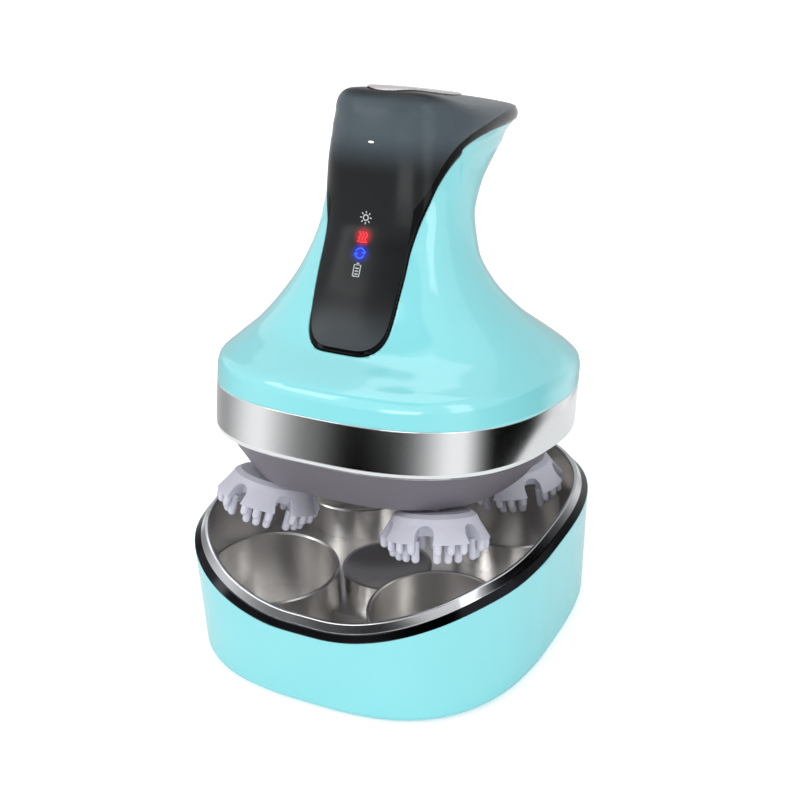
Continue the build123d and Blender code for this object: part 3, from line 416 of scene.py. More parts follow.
@dataclass(frozen=True)
class PaperFinish(Finish):
    """White paper that the camera sees a little brighter, so that it stays plain white."""

    lift: float = 0.42

    def dress(self, tree: bpy.types.NodeTree, shader: bpy.types.Node,
              place: bpy.types.NodeSocket) -> None:
        """Adds even light for camera rays to the usual layers.

        Args:
            tree: The material's node tree.
            shader: The principled shader.
            place: Coordinates in metres on the object.
        """
        super().dress(tree, shader, place)
        path = add_node(tree, "ShaderNodeLightPath")
        lift = add_node(tree, "ShaderNodeMath", {"operation": "MULTIPLY", 1: self.lift},
                        {0: path.outputs["Is Camera Ray"]})
        shader.inputs["Emission Color"].default_value = (1, 1, 1, 1)
        tree.links.new(lift.outputs[0], shader.inputs["Emission Strength"])


# Injection-moulded ABS, polished mould: a clear gloss with the faintest orange peel.
TURQUOISE_ABS = Finish("turquoise_gloss_abs", "8FE3E9", 0.10, ior=1.54, coat=0.35,
                       patch_colour="86DCE3", patch_mm=40, grain_mm=5.0, grain_depth_mm=0.006,
                       rough_swing=0.04)
# The same plastic, smoked, with painted reflection: its base colour is grey at the foot of the panel, nearly
# black along its middle and a paler grey under the crown, the grey parts standing for reflections. The lamps
# of two signs glow through it.
CHARCOAL_ABS = TintedFinish(
    "charcoal_gloss_abs", "1D1E20", 0.24, specular=0.16, patch_mm=30, grain_mm=5.0, grain_depth_mm=0.004,
    rough_swing=0.03,
    # painted reflection: the foot and the grey under the crown are paler
    painted_reflection_tints=((0.017, SmokeToneWithPaintedReflection.FOOT), (0.034, SmokeToneWithPaintedReflection.BODY), (0.070, SmokeToneWithPaintedReflection.BODY),
           (0.084, SmokeToneWithPaintedReflection.REFLECTED_GREY), (0.092, SmokeToneWithPaintedReflection.REFLECTED_GREY), (0.0955, SmokeToneWithPaintedReflection.EDGE)),
    lamps=(((0.0, -0.0154, 0.1429), "FF1020"), ((0.0, -0.0179, 0.1383), "1030FF")))
# The cover's border and sides come from the best polished part of the mould and look nearly black.
BLACK_ABS = Finish("black_gloss_abs", "060607", 0.12, specular=0.1, patch_colour="0D0D10",
                   grain_mm=5.0, grain_depth_mm=0.003, rough_swing=0.03)
# Pearl paint over ABS: silver flakes in a warm grey.
PEARL_PAINT = Finish("pearl_silver_paint", "D8D2D3", 0.26, 0.45, coat=0.6, patch_colour="C5BFC3",
                     patch_mm=6, patch_share=0.6, grain_mm=0.35, grain_depth_mm=0.003)
# Bright chrome plate on plastic: a near mirror with slight waves from the moulding under it.
CHROME_PLATE = Finish("chrome_plate", "D4D6D9", 0.06, 1.0, patch_colour="C8CACD", patch_mm=30,
                      grain_mm=9.0, grain_depth_mm=0.010, rough_swing=0.03)
# The trim on the dock's edge is plated the same way, but less polished. Its lower slant gets a dark colour
# as a painted dark reflection.
SLANT_PAINTED_REFLECTION = Finish("trim_plate_painted_dark_reflection", "26272A", 0.13, 1.0, patch_colour="1E1F22", patch_mm=25,
                     grain_mm=7.0, grain_depth_mm=0.008, rough_swing=0.04)
TRIM_PLATE = Finish("satin_chrome_plate", "C9CBCE", 0.14, 1.0, patch_colour="BDBFC2", patch_mm=25,
                    grain_mm=7.0, grain_depth_mm=0.010, rough_swing=0.04)
# The liner is ABS metallised by vapour: bright, with a softer mirror than the plate.
MIRROR_LINER = Finish("vapour_metallised_liner", "E6E4E2", 0.24, 0.88, patch_colour="D6D4D3",
                      patch_mm=22, grain_mm=11.0, grain_depth_mm=0.016, rough_swing=0.06)
# ABS from a spark-eroded mould: an even satin with a fine grit.
SATIN_ABS = Finish("satin_grey_abs", "6E6972", 0.42, ior=1.54, patch_colour="67626B",
                   grain_mm=0.45, grain_depth_mm=0.010)
# Inner pieces in uncoloured ABS, straight from a plain mould: off-white and half matt.
INNER_ABS = Finish("natural_abs", "D9D8D2", 0.5, ior=1.54, patch_colour="CFCEC7", grain_mm=0.6,
                   grain_depth_mm=0.008)
# Liquid silicone rubber: satin, slightly clear, holding a trace of dust.
SILICONE = SiliconeFinish("moulded_silicone", "D2D3DF", 0.46, ior=1.41, patch_colour="C7C8D6",
                          patch_mm=7, patch_share=0.5, grain_mm=0.5, grain_depth_mm=0.012)
# Moulded rubber: the feet are dull and gritty, and the seals are smoother.
FOOT_RUBBER = Finish("foot_rubber", "26262A", 0.75, ior=1.52, patch_colour="303034", grain_mm=0.5,
                     grain_depth_mm=0.02)
SEAL_RUBBER = Finish("seal_rubber", "141416", 0.6, ior=1.52, patch_colour="1C1C1E", grain_mm=0.4,
                     grain_depth_mm=0.01)
# Steel turned on a lathe: a grey shine with the tool's fine rings.
TURNED_STEEL = TurnedFinish("turned_steel", "B4B5B8", 0.24, 1.0, patch_colour="A3A4A8")
# Gears moulded in natural acetal: milky, with a waxy sheen.
ACETAL = Finish("moulded_acetal", "EDEAE2", 0.34, ior=1.48, patch_colour="E2DED4", grain_mm=0.8,
                grain_depth_mm=0.006)
# Bushes pressed from bronze powder and sintered: speckled, with open pores.
SINTERED_BRONZE = Finish("sintered_bronze", "A67C45", 0.38, 1.0, patch_colour="8C6636",
                         patch_mm=2, patch_share=0.8, grain_mm=0.25, grain_depth_mm=0.02)
# Copper wire under a clear enamel: an orange metal, ridged turn by turn.
COPPER_WINDING = WoundFinish("enamelled_copper_winding", "B4622F", 0.28, 0.9, coat=0.5,
                             patch_colour="9C5026")
# Sintered ferrite: a dull, dark grey ceramic.
FERRITE = Finish("sintered_ferrite", "2A2A2D", 0.55, 0.2, patch_colour="36363A", grain_mm=0.3,
                 grain_depth_mm=0.02)
# Glass epoxy under a green solder mask: a low gloss, mottled by the tracks under it.
CIRCUIT_BOARD = Finish("solder_masked_glass_epoxy", "12603A", 0.32, coat=0.3,
                       patch_colour="1B7147", patch_mm=2.5, patch_share=0.8, grain_mm=0.4,
                       grain_depth_mm=0.012)
# PVC sleeve shrunk by heat: a blue gloss in shallow waves.
SHRINK_WRAP = Finish("battery_shrink_wrap", "2457A8", 0.28, coat=0.3, patch_colour="1D4A92",
                     grain_mm=2.5, grain_depth_mm=0.03)
# Moulded acrylic with a frosted face, which spreads the lamps' light.
CLEAR_ACRYLIC = Finish("frosted_acrylic", "E8EEF0", 0.3, ior=1.49, patch_colour="DDE5E8",
                       grain_mm=0.5, grain_depth_mm=0.01)
# Screen-printed ink, in grey where it is unlit and in the lamp's colour where it is lit. The unlit grey ink
# also gets a faint painted glow.
GREY_INK = LampFinish("grey_icon_ink", "B9BEC2", 0.4, patch_colour="AEB3B8", glow=0.15)
RED_LAMP = LampFinish("red_lamp_icon", "F0202C", 0.35, patch_colour="D81824", glow=1.4)
BLUE_LAMP = LampFinish("blue_lamp_icon", "1848F8", 0.35, patch_colour="1440E0", glow=1.6)
# Clear moulded lens with a white lamp behind it.
WHITE_LAMP = LampFinish("white_lamp_lens", "FDFEFF", 0.15, patch_colour="F2F6F8", glow=1.0)
# Uncoated white paper from the roll: matt and even.
FLOOR_PAPER = PaperFinish("studio_paper", "FFFFFF", 0.9, patch_colour="FDFDFD", patch_mm=400,
                          patch_share=0.2, grain_mm=2.0, grain_depth_mm=0.01)
# Black woven cloth, which puts a dark shape into a reflection.
FLAG_CLOTH = Finish("black_flag_cloth", "050506", 0.9, patch_colour="080809", grain_mm=2.0)


# ---------------------------------------------------------------- hand unit's frame
class HandFrame:
    """Frame of the lifted hand unit, read from the axis that its drive shaft turns on."""

    def __init__(self) -> None:
        """Finds the origin, in the seam's middle, and +Z, up the handle."""
        joint = next(j for j in frame["joints"] if j["name"] == "drive_spin")
        up = Vector(joint["axis"]).normalized()
        across = Vector((1, 0, 0))
        axes = Matrix((across, up.cross(across), up)).transposed().to_4x4()
        self.matrix = Matrix.Translation(Vector(joint["pos_m"])) @ axes

    def place(self, points_mm: np.ndarray) -> np.ndarray:
        """Turns points from the hand frame in millimetres into the row frame in metres."""
        turn = np.array(self.matrix.to_3x3())
        return points_mm * MM @ turn.T + np.array(self.matrix.translation)


HAND = HandFrame()


def make_object(name: str, vertices: np.ndarray, faces: Iterable[Sequence[int]],
                finishes: Sequence[Finish], face_slots: Sequence[int] | None = None
                ) -> bpy.types.Object:
    """Makes a smooth-shaded mesh object.

    Args:
        name: The piece's name.
        vertices: Points in the row frame, in metres.
        faces: Vertex numbers of each face.
        finishes: Finishes in the order of the material slots.
        face_slots: Number of the finish of each face, or None for the first one.

    Returns:
        The new object, linked into the scene.
    """
    mesh = bpy.data.meshes.new(name)
    mesh.from_pydata([tuple(v) for v in vertices], [], [tuple(f) for f in faces])
    mesh.validate()
    for finish in finishes:
        mesh.materials.append(finish.material())
    mesh.polygons.foreach_set("use_smooth", [True] * len(mesh.polygons))
    if face_slots is not None:
        mesh.polygons.foreach_set("material_index", list(face_slots))
    mesh.update()
    thing = bpy.data.objects.new(name, mesh)
    bpy.context.scene.collection.objects.link(thing)
    return thing


def thicken(thing: bpy.types.Object, name: str, thickness_mm: float, offset: float) -> None:
    """Gives a sheet its thickness, inside its face at an offset of -1 and half each way at 0.

    Args:
        thing: The sheet.
        name: Name of the modifier.
        thickness_mm: Its thickness.
        offset: Side that the thickness goes to, from -1 for inside to 1 for outside.
    """
    skin = thing.modifiers.new(name, "SOLIDIFY")
    skin.thickness = thickness_mm * MM
    skin.offset = offset


# ---------------------------------------------------------------- finishes of the solids
@dataclass
class CadDress:
    """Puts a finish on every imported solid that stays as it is."""

    by_node: dict[str, Finish] = field(default_factory=lambda: {
        "dock_shell": TURQUOISE_ABS, "dock_rim_trim": CHROME_PLATE, "dock_liner": MIRROR_LINER,
        "dock_deck": MIRROR_LINER, "dock_base_cover": SATIN_ABS, "dock_feet": FOOT_RUBBER,
        "dock_screws": TURNED_STEEL, "dock_charging_coil": COPPER_WINDING, "dock_ferrite_disc": FERRITE,
        "dock_charging_board": CIRCUIT_BOARD, "dock_power_socket": TURNED_STEEL,
        "bell_housing": TURQUOISE_ABS, "front_cover": CHARCOAL_ABS, "power_button": PEARL_PAINT,
        "tact_switch": SEAL_RUBBER, "switch_board": CIRCUIT_BOARD, "chrome_ring": CHROME_PLATE,
        "underside_tub": SATIN_ABS, "gearbox_cover": INNER_ABS, "underside_screws": TURNED_STEEL,
        "gear_motor": TURNED_STEEL, "inner_chassis": INNER_ABS, "battery_pack": SHRINK_WRAP,
        "main_board": CIRCUIT_BOARD, "icon_light_guide": CLEAR_ACRYLIC,
        "charging_receiver": COPPER_WINDING, "receiver_ferrite": FERRITE, "drive_gear": ACETAL,
        "drive_shaft": TURNED_STEEL, "spindle_seals": SEAL_RUBBER})
    by_start: dict[str, Finish] = field(default_factory=lambda: {
        "well_insert": MIRROR_LINER, "massage_claw": SILICONE, "head_hub": INNER_ABS,
        "head_spindle": TURNED_STEEL, "head_gear": ACETAL, "lower_bush": SINTERED_BRONZE,
        "upper_bush": SINTERED_BRONZE})

    def finish_of(self, node: str) -> Finish:
        """Gives the finish of a node by its name, or by how its name starts.

        Args:
            node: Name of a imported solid's node.

        Returns:
            The finish that the solid gets.
        """
        if node in self.by_node:
            return self.by_node[node]
        return next(f for start, f in self.by_start.items() if node.startswith(start))

    def dress(self) -> None:
        """Swaps every node's packed material for its finish."""
        for name, thing in frame["nodes"].items():
            finish = self.finish_of(name)
            thing.data.materials.clear()
            thing.data.materials.append(finish.material())
            LOG.info("solid %s gets %s", name, finish.name)


# ---------------------------------------------------------------- bell, cover and button
def monotone(knots: Knots, column: int, at: np.ndarray) -> np.ndarray:
    """Reads one column of a table between its rows, on a curve with no ripples.

    Args:
        knots: Rows whose first value is the place and whose others are sizes there.
        column: Number of the size to read.
        at: Places to read it at.

    Returns:
        The size at each place, held level beyond the ends of the table.
    """
    place = np.array([row[0] for row in knots])
    size = np.array([row[column] for row in knots])
    width = np.diff(place)
    slope = np.diff(size) / width
    tangent = np.empty_like(size)
    tangent[0], tangent[-1] = slope[0], slope[-1]
    before, after = slope[:-1], slope[1:]
    near, far = 2 * width[1:] + width[:-1], width[1:] + 2 * width[:-1]
    same = before * after > 0
    safe_before, safe_after = np.where(same, before, 1), np.where(same, after, 1)
    tangent[1:-1] = np.where(same, (near + far) / (near / safe_before + far / safe_after), 0)
    at = np.clip(at, place[0], place[-1])
    i = np.clip(np.searchsorted(place, at, side="right") - 1, 0, len(width) - 1)
    t = (at - place[i]) / width[i]
    return (size[i] * (2 * t ** 3 - 3 * t ** 2 + 1) + tangent[i] * width[i] * (t ** 3 - 2 * t ** 2 + t)
            + size[i + 1] * (3 * t ** 2 - 2 * t ** 3) + tangent[i + 1] * width[i] * (t ** 3 - t ** 2))


def soft_step(share: np.ndarray) -> np.ndarray:
    """Smooth rise from 0 to 1 while `share` goes from 0 to 1."""
    share = np.clip(share, 0, 1)
    return share * share * (3 - 2 * share)


def soft_max(one: np.ndarray, other: np.ndarray, reach: float) -> np.ndarray:
    """The larger of two distances, rounded over where they are within `reach`."""
    near = np.clip(reach - np.abs(one - other), 0, None) / reach
    return np.maximum(one, other) + near * near * reach / 4


@dataclass
class HandleShape:
    """Outer form of the bell and the handle, in the hand frame and in millimetres."""

    # height, front, back, half width, squareness, narrowing to the back
    sections: Knots = (
        (6.0, -61.8, 61.8, 55.6, 2.6, 0.0), (8.5, -61.0, 61.1, 55.1, 2.6, 0.0),
        (12.0, -55.0, 57.0, 52.8, 2.5, 0.0), (18.0, -45.5, 46.0, 47.2, 2.4, 0.0),
        (26.0, -41.6, 31.6, 39.6, 2.3, 0.0), (36.0, -38.8, 20.2, 31.4, 2.3, 0.0),
        (46.0, -35.6, 14.4, 26.0, 2.4, 0.0), (56.0, -32.8, 14.4, 23.2, 2.5, 0.02),
        (66.0, -32.1, 22.0, 21.9, 2.7, 0.06), (73.0, -32.0, 33.9, 21.5, 2.8, 0.12),
        (78.0, -31.9, 47.0, 21.2, 2.7, 0.20), (81.0, -31.8, 57.5, 21.0, 2.5, 0.30),
        (84.0, -31.8, 69.5, 21.0, 2.4, 0.38), (88.0, -31.8, 75.0, 21.0, 2.3, 0.40),
        (100.0, -31.8, 76.5, 21.0, 2.3, 0.40))
    # distance back, height along the middle of the top
    crown_line: Knots = (
        (-66.0, 36.0), (-36.0, 76.0), (-32.4, 88.0), (-30.4, 92.4), (-26.5, 95.2), (-20.0, 96.1),
        (-10.0, 95.8), (5.0, 94.9), (25.0, 93.4), (45.0, 91.5), (62.0, 89.0), (74.0, 87.2), (90.0, 83.7))
    dome_radius: float = 45.0
    dome_start: tuple[float, float] = (-20.0, 97.6)
    dome_slope: float = 0.0947
    dome_blend: float = 2.5
    # square of the dome's height at its side, kept above zero far out
    dome_least: float = 100.0
    crown_round: float = 5.0
    # distance back, height of the cover's lower edge
    cover_edge_line: Knots = (
        (-60.0, 35.0), (-30.0, 56.5), (-26.5, 62.5), (-22.0, 70.3), (-15.7, 76.0), (-7.3, 79.9),
        (4.4, 82.2), (17.9, 83.3), (33.7, 83.7), (52.0, 83.4), (72.0, 82.6), (90.0, 81.6))
    # height, half width of the panel strip
    panel_edge_line: Knots = (
        (12.0, 13.8), (22.5, 14.3), (32.0, 15.0), (44.0, 15.5), (54.0, 15.3), (62.0, 15.6),
        (71.0, 17.2), (80.0, 19.6), (94.0, 26.0))
    panel_bottom: float = 17.0
    panel_back: float = -12.0
    panel_corner_reach: float = 8.5
    edge_round: float = 9.0
    edge_inset: float = 0.18
    # smallest width, as a share of the half width, and smallest slope that still guide a point
    least_width: float = 0.2
    least_slope: float = 0.3

    def section(self, z: np.ndarray) -> tuple[np.ndarray, ...]:
        """Front, back, half width, squareness and narrowing at each height."""
        return tuple(monotone(self.sections, column, z) for column in range(1, 6))

    def wall_point(self, turn: np.ndarray, z: np.ndarray) -> np.ndarray:
        """Points of the wall at the angle parameter `turn` and the height `z`.

        Args:
            turn: Angle parameter of each point, from +X towards the back.
            z: Height of each point.

        Returns:
            The points, with their coordinates along a last axis.
        """
        front, back, half_x, squareness, narrowing = self.section(z)
        across = np.sign(np.cos(turn)) * np.abs(np.cos(turn)) ** (2 / squareness)
        along = np.sign(np.sin(turn)) * np.abs(np.sin(turn)) ** (2 / squareness)
        x = half_x * across * (1 - narrowing * along)
        y = (front + back) / 2 + (back - front) / 2 * along
        return np.stack([x, y, z], -1)

    def crown_height(self, x: np.ndarray, y: np.ndarray) -> np.ndarray:
        """Height of the domed top over a place.

        Args:
            x: Distance to the right of the middle.
            y: Distance back.

        Returns:
            The height, from the line along the middle or from the dome, whichever is lower.
        """
        side_height = np.sqrt(np.clip(self.dome_radius ** 2 - x * x, self.dome_least, None))
        side_drop = self.dome_radius - side_height
        dome = self.dome_start[1] - self.dome_slope * (y - self.dome_start[0]) - side_drop
        return -soft_max(-monotone(self.crown_line, 1, y), -dome, self.dome_blend)

    def wall_value(self, p: np.ndarray) -> np.ndarray:
        """Below zero inside the wall, above zero outside it.

        Args:
            p: Points in hand frame millimetres, with the coordinates along the last axis.

        Returns:
            About the distance from the wall, in millimetres.
        """
        front, back, half_x, squareness, narrowing = self.section(p[..., 2])
        along = (p[..., 1] - (front + back) / 2) / ((back - front) / 2)
        width = half_x * np.clip(1 - narrowing * along, self.least_width, None)
        radius = np.abs(p[..., 0] / width) ** squareness + np.abs(along) ** squareness
        return (radius ** (1 / squareness) - 1) * np.minimum(half_x, (back - front) / 2)

    def crown_value(self, p: np.ndarray) -> np.ndarray:
        """Below zero under the top, above zero over it."""
        return p[..., 2] - self.crown_height(p[..., 0], p[..., 1])

    @staticmethod
    def gradient(value: Callable[[np.ndarray], np.ndarray], p: np.ndarray) -> np.ndarray:
        """Slope of a value along each axis, from small steps both ways.

        Args:
            value: Function of an array of points.
            p: Points in hand frame millimetres, with the coordinates along the last axis.

        Returns:
            The slope at each point.
        """
        step = 0.02
        sides = []
        for axis in range(3):
            shift = np.zeros(3)
            shift[axis] = step
            sides.append((value(p + shift) - value(p - shift)) / (2 * step))
        return np.stack(sides, -1)

    def settle(self, p: np.ndarray, rounds: int = 4) -> np.ndarray:
        """Moves points onto the outer form, with the edge of the top rounded over.

        Args:
            p: Points in hand frame millimetres, with the coordinates along the last axis.
            rounds: How many steps each point takes.

        Returns:
            The moved points.
        """
        for _ in range(rounds):
            wall_slope = self.gradient(self.wall_value, p)
            crown_slope = self.gradient(self.crown_value, p)
            wall_size = np.linalg.norm(wall_slope, axis=-1)
            crown_size = np.linalg.norm(crown_slope, axis=-1)
            wall, crown = self.wall_value(p) / wall_size, self.crown_value(p) / crown_size
            reach = self.crown_round
            depth = soft_max(wall, crown, reach)
            share = np.clip(0.5 + (wall - crown) / (2 * reach), 0, 1)[..., None]
            wall_part = share * wall_slope / wall_size[..., None]
            slope = wall_part + (1 - share) * crown_slope / crown_size[..., None]
            steepness = np.maximum((slope ** 2).sum(-1), self.least_slope)
            p = p - depth[..., None] * slope / steepness[..., None]
        return p

    def strip_share(self, p: np.ndarray) -> np.ndarray:
        """Distance into the panel strip that runs down the front.

        Args:
            p: Points in hand frame millimetres, with the coordinates along the last axis.

        Returns:
            The distance, below zero outside the strip.
        """
        side = monotone(self.panel_edge_line, 1, p[..., 2]) - np.abs(p[..., 0])
        foot = p[..., 2] - self.panel_bottom
        strip = -soft_max(-side, -foot, self.panel_corner_reach)
        return np.where(p[..., 1] < self.panel_back, strip, FAR_OUTSIDE)

    def top_share(self, p: np.ndarray) -> np.ndarray:
        """Height over the cover's lower edge."""
        return p[..., 2] - monotone(self.cover_edge_line, 1, p[..., 1])

    def cover_share(self, p: np.ndarray) -> np.ndarray:
        """Distance into the black cover from its edge, below zero on the bell."""
        return soft_max(self.strip_share(p), self.top_share(p), self.edge_round) - self.edge_inset


@dataclass
class ButtonShape:
    """Teardrop of the power button, broad at the front and pointed at the back."""

    front: float = -26.0
    back: float = 33.0
    half_width: float = 11.5
    gap: float = 0.3
    proud: float = 0.7
    # how far the rim is rounded down, and over which share of the way in
    rim_drop: float = 0.45
    rim_share: float = 0.06
    skirt: float = 3.0
    # largest value that the outline's formula reaches
    widest: float = 0.7698
    hole_over: float = 70.0

    def width(self, y: np.ndarray, grow: float = 0.0) -> np.ndarray:
        """Half width at the distance back `y`.

        Args:
            y: Distance back.
            grow: How far the outline is moved out.

        Returns:
            The half width.
        """
        middle, half = (self.front + self.back) / 2, (self.back - self.front) / 2 + grow
        turn = np.arccos(np.clip((y - middle) / half, -1, 1))
        return (self.half_width + grow) * np.sin(turn) * np.sin(turn / 2) / self.widest

    def inside(self, p: np.ndarray) -> np.ndarray:
        """Distance into the button's hole, below zero outside it.

        Args:
            p: Points in hand frame millimetres, with the coordinates along the last axis.

        Returns:
            The smaller of the distances from the hole's side and end.
        """
        middle, half = (self.front + self.back) / 2, (self.back - self.front) / 2 + self.gap
        past_end = np.abs(p[..., 1] - middle) - half
        value = np.where(past_end > 0, -past_end, self.width(p[..., 1], self.gap) - np.abs(p[..., 0]))
        return np.where(p[..., 2] > self.hole_over, value, FAR_OUTSIDE)


# how often a cut halves the stretch of edge that it lies in
CUT_ROUNDS = 18
# share of an edge that a cut leaves at either end
CUT_MARGIN = 0.002
# points nearer than this to each other along a cut become one, in millimetres
RIM_MERGE = 0.06


def cut_mesh(bm: bmesh.types.BMesh, value: Callable[[np.ndarray], np.ndarray],
             discard: bool = True) -> None:
    """Cuts a mesh where a value crosses zero and keeps the side above zero.

    Args:
        bm: The mesh, in hand frame millimetres.
        value: Function of an array of points.
        discard: Whether the side below zero goes. Otherwise the cut only adds edges.
    """
    bm.verts.ensure_lookup_table()
    at = value(np.array([v.co for v in bm.verts]))
    amount = {v: at[i] for i, v in enumerate(bm.verts)}
    crossing = [e for e in bm.edges if (amount[e.verts[0]] > 0) != (amount[e.verts[1]] > 0)]
    low = np.array([e.verts[0].co for e in crossing])
    high = np.array([e.verts[1].co for e in crossing])
    start_sign = np.array([amount[e.verts[0]] > 0 for e in crossing])
    near, far = np.zeros(len(crossing)), np.ones(len(crossing))
    for _ in range(CUT_ROUNDS):
        middle = (near + far) / 2
        same = (value(low + (high - low) * middle[:, None]) > 0) == start_sign
        near, far = np.where(same, middle, near), np.where(same, far, middle)
    for edge, share in zip(crossing, np.clip((near + far) / 2, CUT_MARGIN, 1 - CUT_MARGIN)):
        _, new = bmesh.utils.edge_split(edge, edge.verts[0], float(share))
        amount[new] = 0.0
    for face in [f for f in bm.faces if sum(amount[v] == 0.0 for v in f.verts) == 2]:
        ends = [v for v in face.verts if amount[v] == 0.0]
        if not any(ends[1] in e.verts for e in ends[0].link_edges):
            bmesh.utils.face_split(face, ends[0], ends[1])
    if not discard:
        return
    gone = [f for f in bm.faces if sum(amount[v] for v in f.verts) < 0]
    bmesh.ops.delete(bm, geom=gone, context="FACES")
    rim = [v for v in bm.verts if v.is_boundary]
    near_rim = dict.fromkeys(w for v in rim for e in v.link_edges for w in e.verts)
    bmesh.ops.remove_doubles(bm, verts=list(near_rim), dist=RIM_MERGE)


@dataclass
class HandleSkin:
    """Fine meshes of the bell, the black cover and the power button."""

    shape: HandleShape = field(default_factory=HandleShape)
    button: ButtonShape = field(default_factory=ButtonShape)
    columns: int = 180
    levels: int = 150
    # crowds the levels towards the top when above one
    level_bias: float = 1.45
    crown_rows: int = 44
    crown_low: float = 55.0
    crown_high: float = 99.5
    crown_rounds: int = 30
    settle_over: float = 60.0
    joint_gap: float = 0.24
    border_width: float = 1.1
    border_drop: float = 0.5
    side_height: float = 3.7
    beak_height: float = 0.9
    beak_run: float = 40.0
    bell_ease: float = 7.0
    bell_drop: float = 0.6
    bell_drop_over: float = 12.0
    wall: float = 1.4
    cap_rings: int = 14
    cap_columns: int = 160
    # crowds the button's rings towards its rim, and how far in the last one lies
    cap_bias: float = 1.6
    cap_reach: float = 0.985

    def top_of_columns(self, turn: np.ndarray) -> np.ndarray:
        """Height at which each column of the wall meets the top.

        Args:
            turn: Angle parameter of each column.

        Returns:
            The heights.
        """
        low, high = np.full_like(turn, self.crown_low), np.full_like(turn, self.crown_high)
        for _ in range(self.crown_rounds):
            middle = (low + high) / 2
            under = self.shape.crown_value(self.shape.wall_point(turn, middle)) < 0
            low, high = np.where(under, middle, low), np.where(under, high, middle)
        return (low + high) / 2

    def grid(self) -> tuple[np.ndarray, list[tuple[int, ...]]]:
        """Points and faces of the whole outer form, open at the bottom.

        Returns:
            Points in hand frame millimetres, and faces as vertex numbers.
        """
        right = np.linspace(-math.pi / 2, math.pi / 2, self.columns + 1)
        turn = np.concatenate([right, math.pi - right[-2:0:-1]])
        count = len(turn)
        top = self.top_of_columns(turn)
        share = np.linspace(0, 1, self.levels + 1)
        share = 1 - (1 - share) ** self.level_bias
        heights = top[None, :] * share[:, None]
        points = self.shape.wall_point(np.broadcast_to(turn, heights.shape), heights)
        wall = points.reshape(-1, 3)
        faces = []
        for row in range(self.levels):
            for col in range(count):
                a, b = row * count + col, row * count + (col + 1) % count
                faces.append((a, b, b + count, a + count))
        edge = points[-1]
        last = self.levels * count
        inner_start = len(wall)
        inner = []
        across = np.linspace(1, -1, self.crown_rows + 1)[1:-1]
        for i in range(1, self.columns):
            for w in across:
                x, y = edge[i][0] * w, edge[i][1]
                inner.append((x, y, float(self.shape.crown_height(np.array(x), np.array(y)))))
        spans = len(across)

        def crown_index(i: int, j: int) -> int:
            """Vertex number at row i from the front and place j from the right.

            Args:
                i: Row from the front.
                j: Place from the right.

            Returns:
                The number, also for the places on the wall's edge.
            """
            if j == 0 or i in (0, self.columns):
                return last + i
            if j == spans + 1:
                return last + (count - i) % count
            return inner_start + (i - 1) * spans + j - 1

        for i in range(self.columns):
            for j in range(spans + 1):
                corners = [crown_index(i, j), crown_index(i + 1, j), crown_index(i + 1, j + 1),
                           crown_index(i, j + 1)]
                loop = tuple(dict.fromkeys(corners))
                if len(loop) > 2:
                    faces.append(loop)
        points = np.concatenate([wall, np.array(inner)])
        high = points[:, 2] > self.settle_over
        points[high] = self.shape.settle(points[high])
        return points, faces

    def piece(self, name: str, keeps: Sequence[Callable[[np.ndarray], np.ndarray]],
              sink: Callable[[np.ndarray], np.ndarray], finishes: Sequence[Finish],
              second_at: Callable[[np.ndarray], np.ndarray] | None = None) -> bpy.types.Object:
        """Cuts one piece out of the outer form.

        Args:
            name: The piece's name.
            keeps: Values that are above zero on the piece.
            sink: Depth under the outer form, by point.
            finishes: The piece's finishes.
            second_at: Value that is above zero where the piece has its second finish.

        Returns:
            The piece with its wall thickness.
        """
        points, faces = self.grid()
        mesh = bpy.data.meshes.new("outer_form")
        mesh.from_pydata([tuple(p) for p in points], [], faces)
        bm = bmesh.new()
        bm.from_mesh(mesh)
        bpy.data.meshes.remove(mesh)
        for keep in keeps:
            cut_mesh(bm, keep)
        if second_at is not None:
            cut_mesh(bm, second_at, discard=False)
        bm.normal_update()
        bm.verts.index_update()
        bm.verts.ensure_lookup_table()
        place = np.array([v.co for v in bm.verts])
        normal = np.array([v.normal for v in bm.verts])
        moved = place - normal * sink(place)[:, None]
        loops = [[v.index for v in f.verts] for f in bm.faces]
        slots = None
        if second_at is not None:
            middles = np.array([f.calc_center_median() for f in bm.faces])
            slots = (second_at(middles) > 0).astype(int)
        bm.free()
        thing = make_object(name, HAND.place(moved), loops, finishes, slots)
        thicken(thing, "wall", self.wall, -1)
        return thing

    def bell(self) -> bpy.types.Object:
        """Turquoise bell: everything outside the cover, eased down along the joint.

        Returns:
            The bell's mesh.
        """
        shape = self.shape

        def sink(p: np.ndarray) -> np.ndarray:
            """Deepest at the joint and gone a few millimetres away."""
            away = -shape.cover_share(p) / self.bell_ease
            return self.bell_drop * (1 - soft_step(away)) * (p[:, 2] > self.bell_drop_over)

        return self.piece("bell_skin", [lambda p: -shape.cover_share(p) - self.joint_gap / 2], sink,
                          [TURQUOISE_ABS])

    def cover(self) -> bpy.types.Object:
        """Black cover with its sloped border and the button's hole.

        Returns:
            The cover's mesh.
        """
        shape = self.shape

        def sink(p: np.ndarray) -> np.ndarray:
            """The border slopes down to the joint."""
            return self.border_drop * (1 - soft_step(shape.cover_share(p) / self.border_width))

        def border(p: np.ndarray) -> np.ndarray:
            """Above zero on the narrow border and on the upright side under the top.

            Args:
                p: Points in hand frame millimetres, with the coordinates along the last axis.

            Returns:
                The larger of the distances into the side and into the border.
            """
            tall = self.side_height + self.beak_height * soft_step(p[:, 1] / self.beak_run)
            side = np.minimum(tall - shape.top_share(p), self.border_width - shape.strip_share(p))
            return np.maximum(side, self.border_width - shape.cover_share(p))

        return self.piece("cover_skin",
                          [lambda p: shape.cover_share(p) - self.joint_gap / 2,
                           lambda p: -self.button.inside(p)],
                          sink, [CHARCOAL_ABS, BLACK_ABS], border)

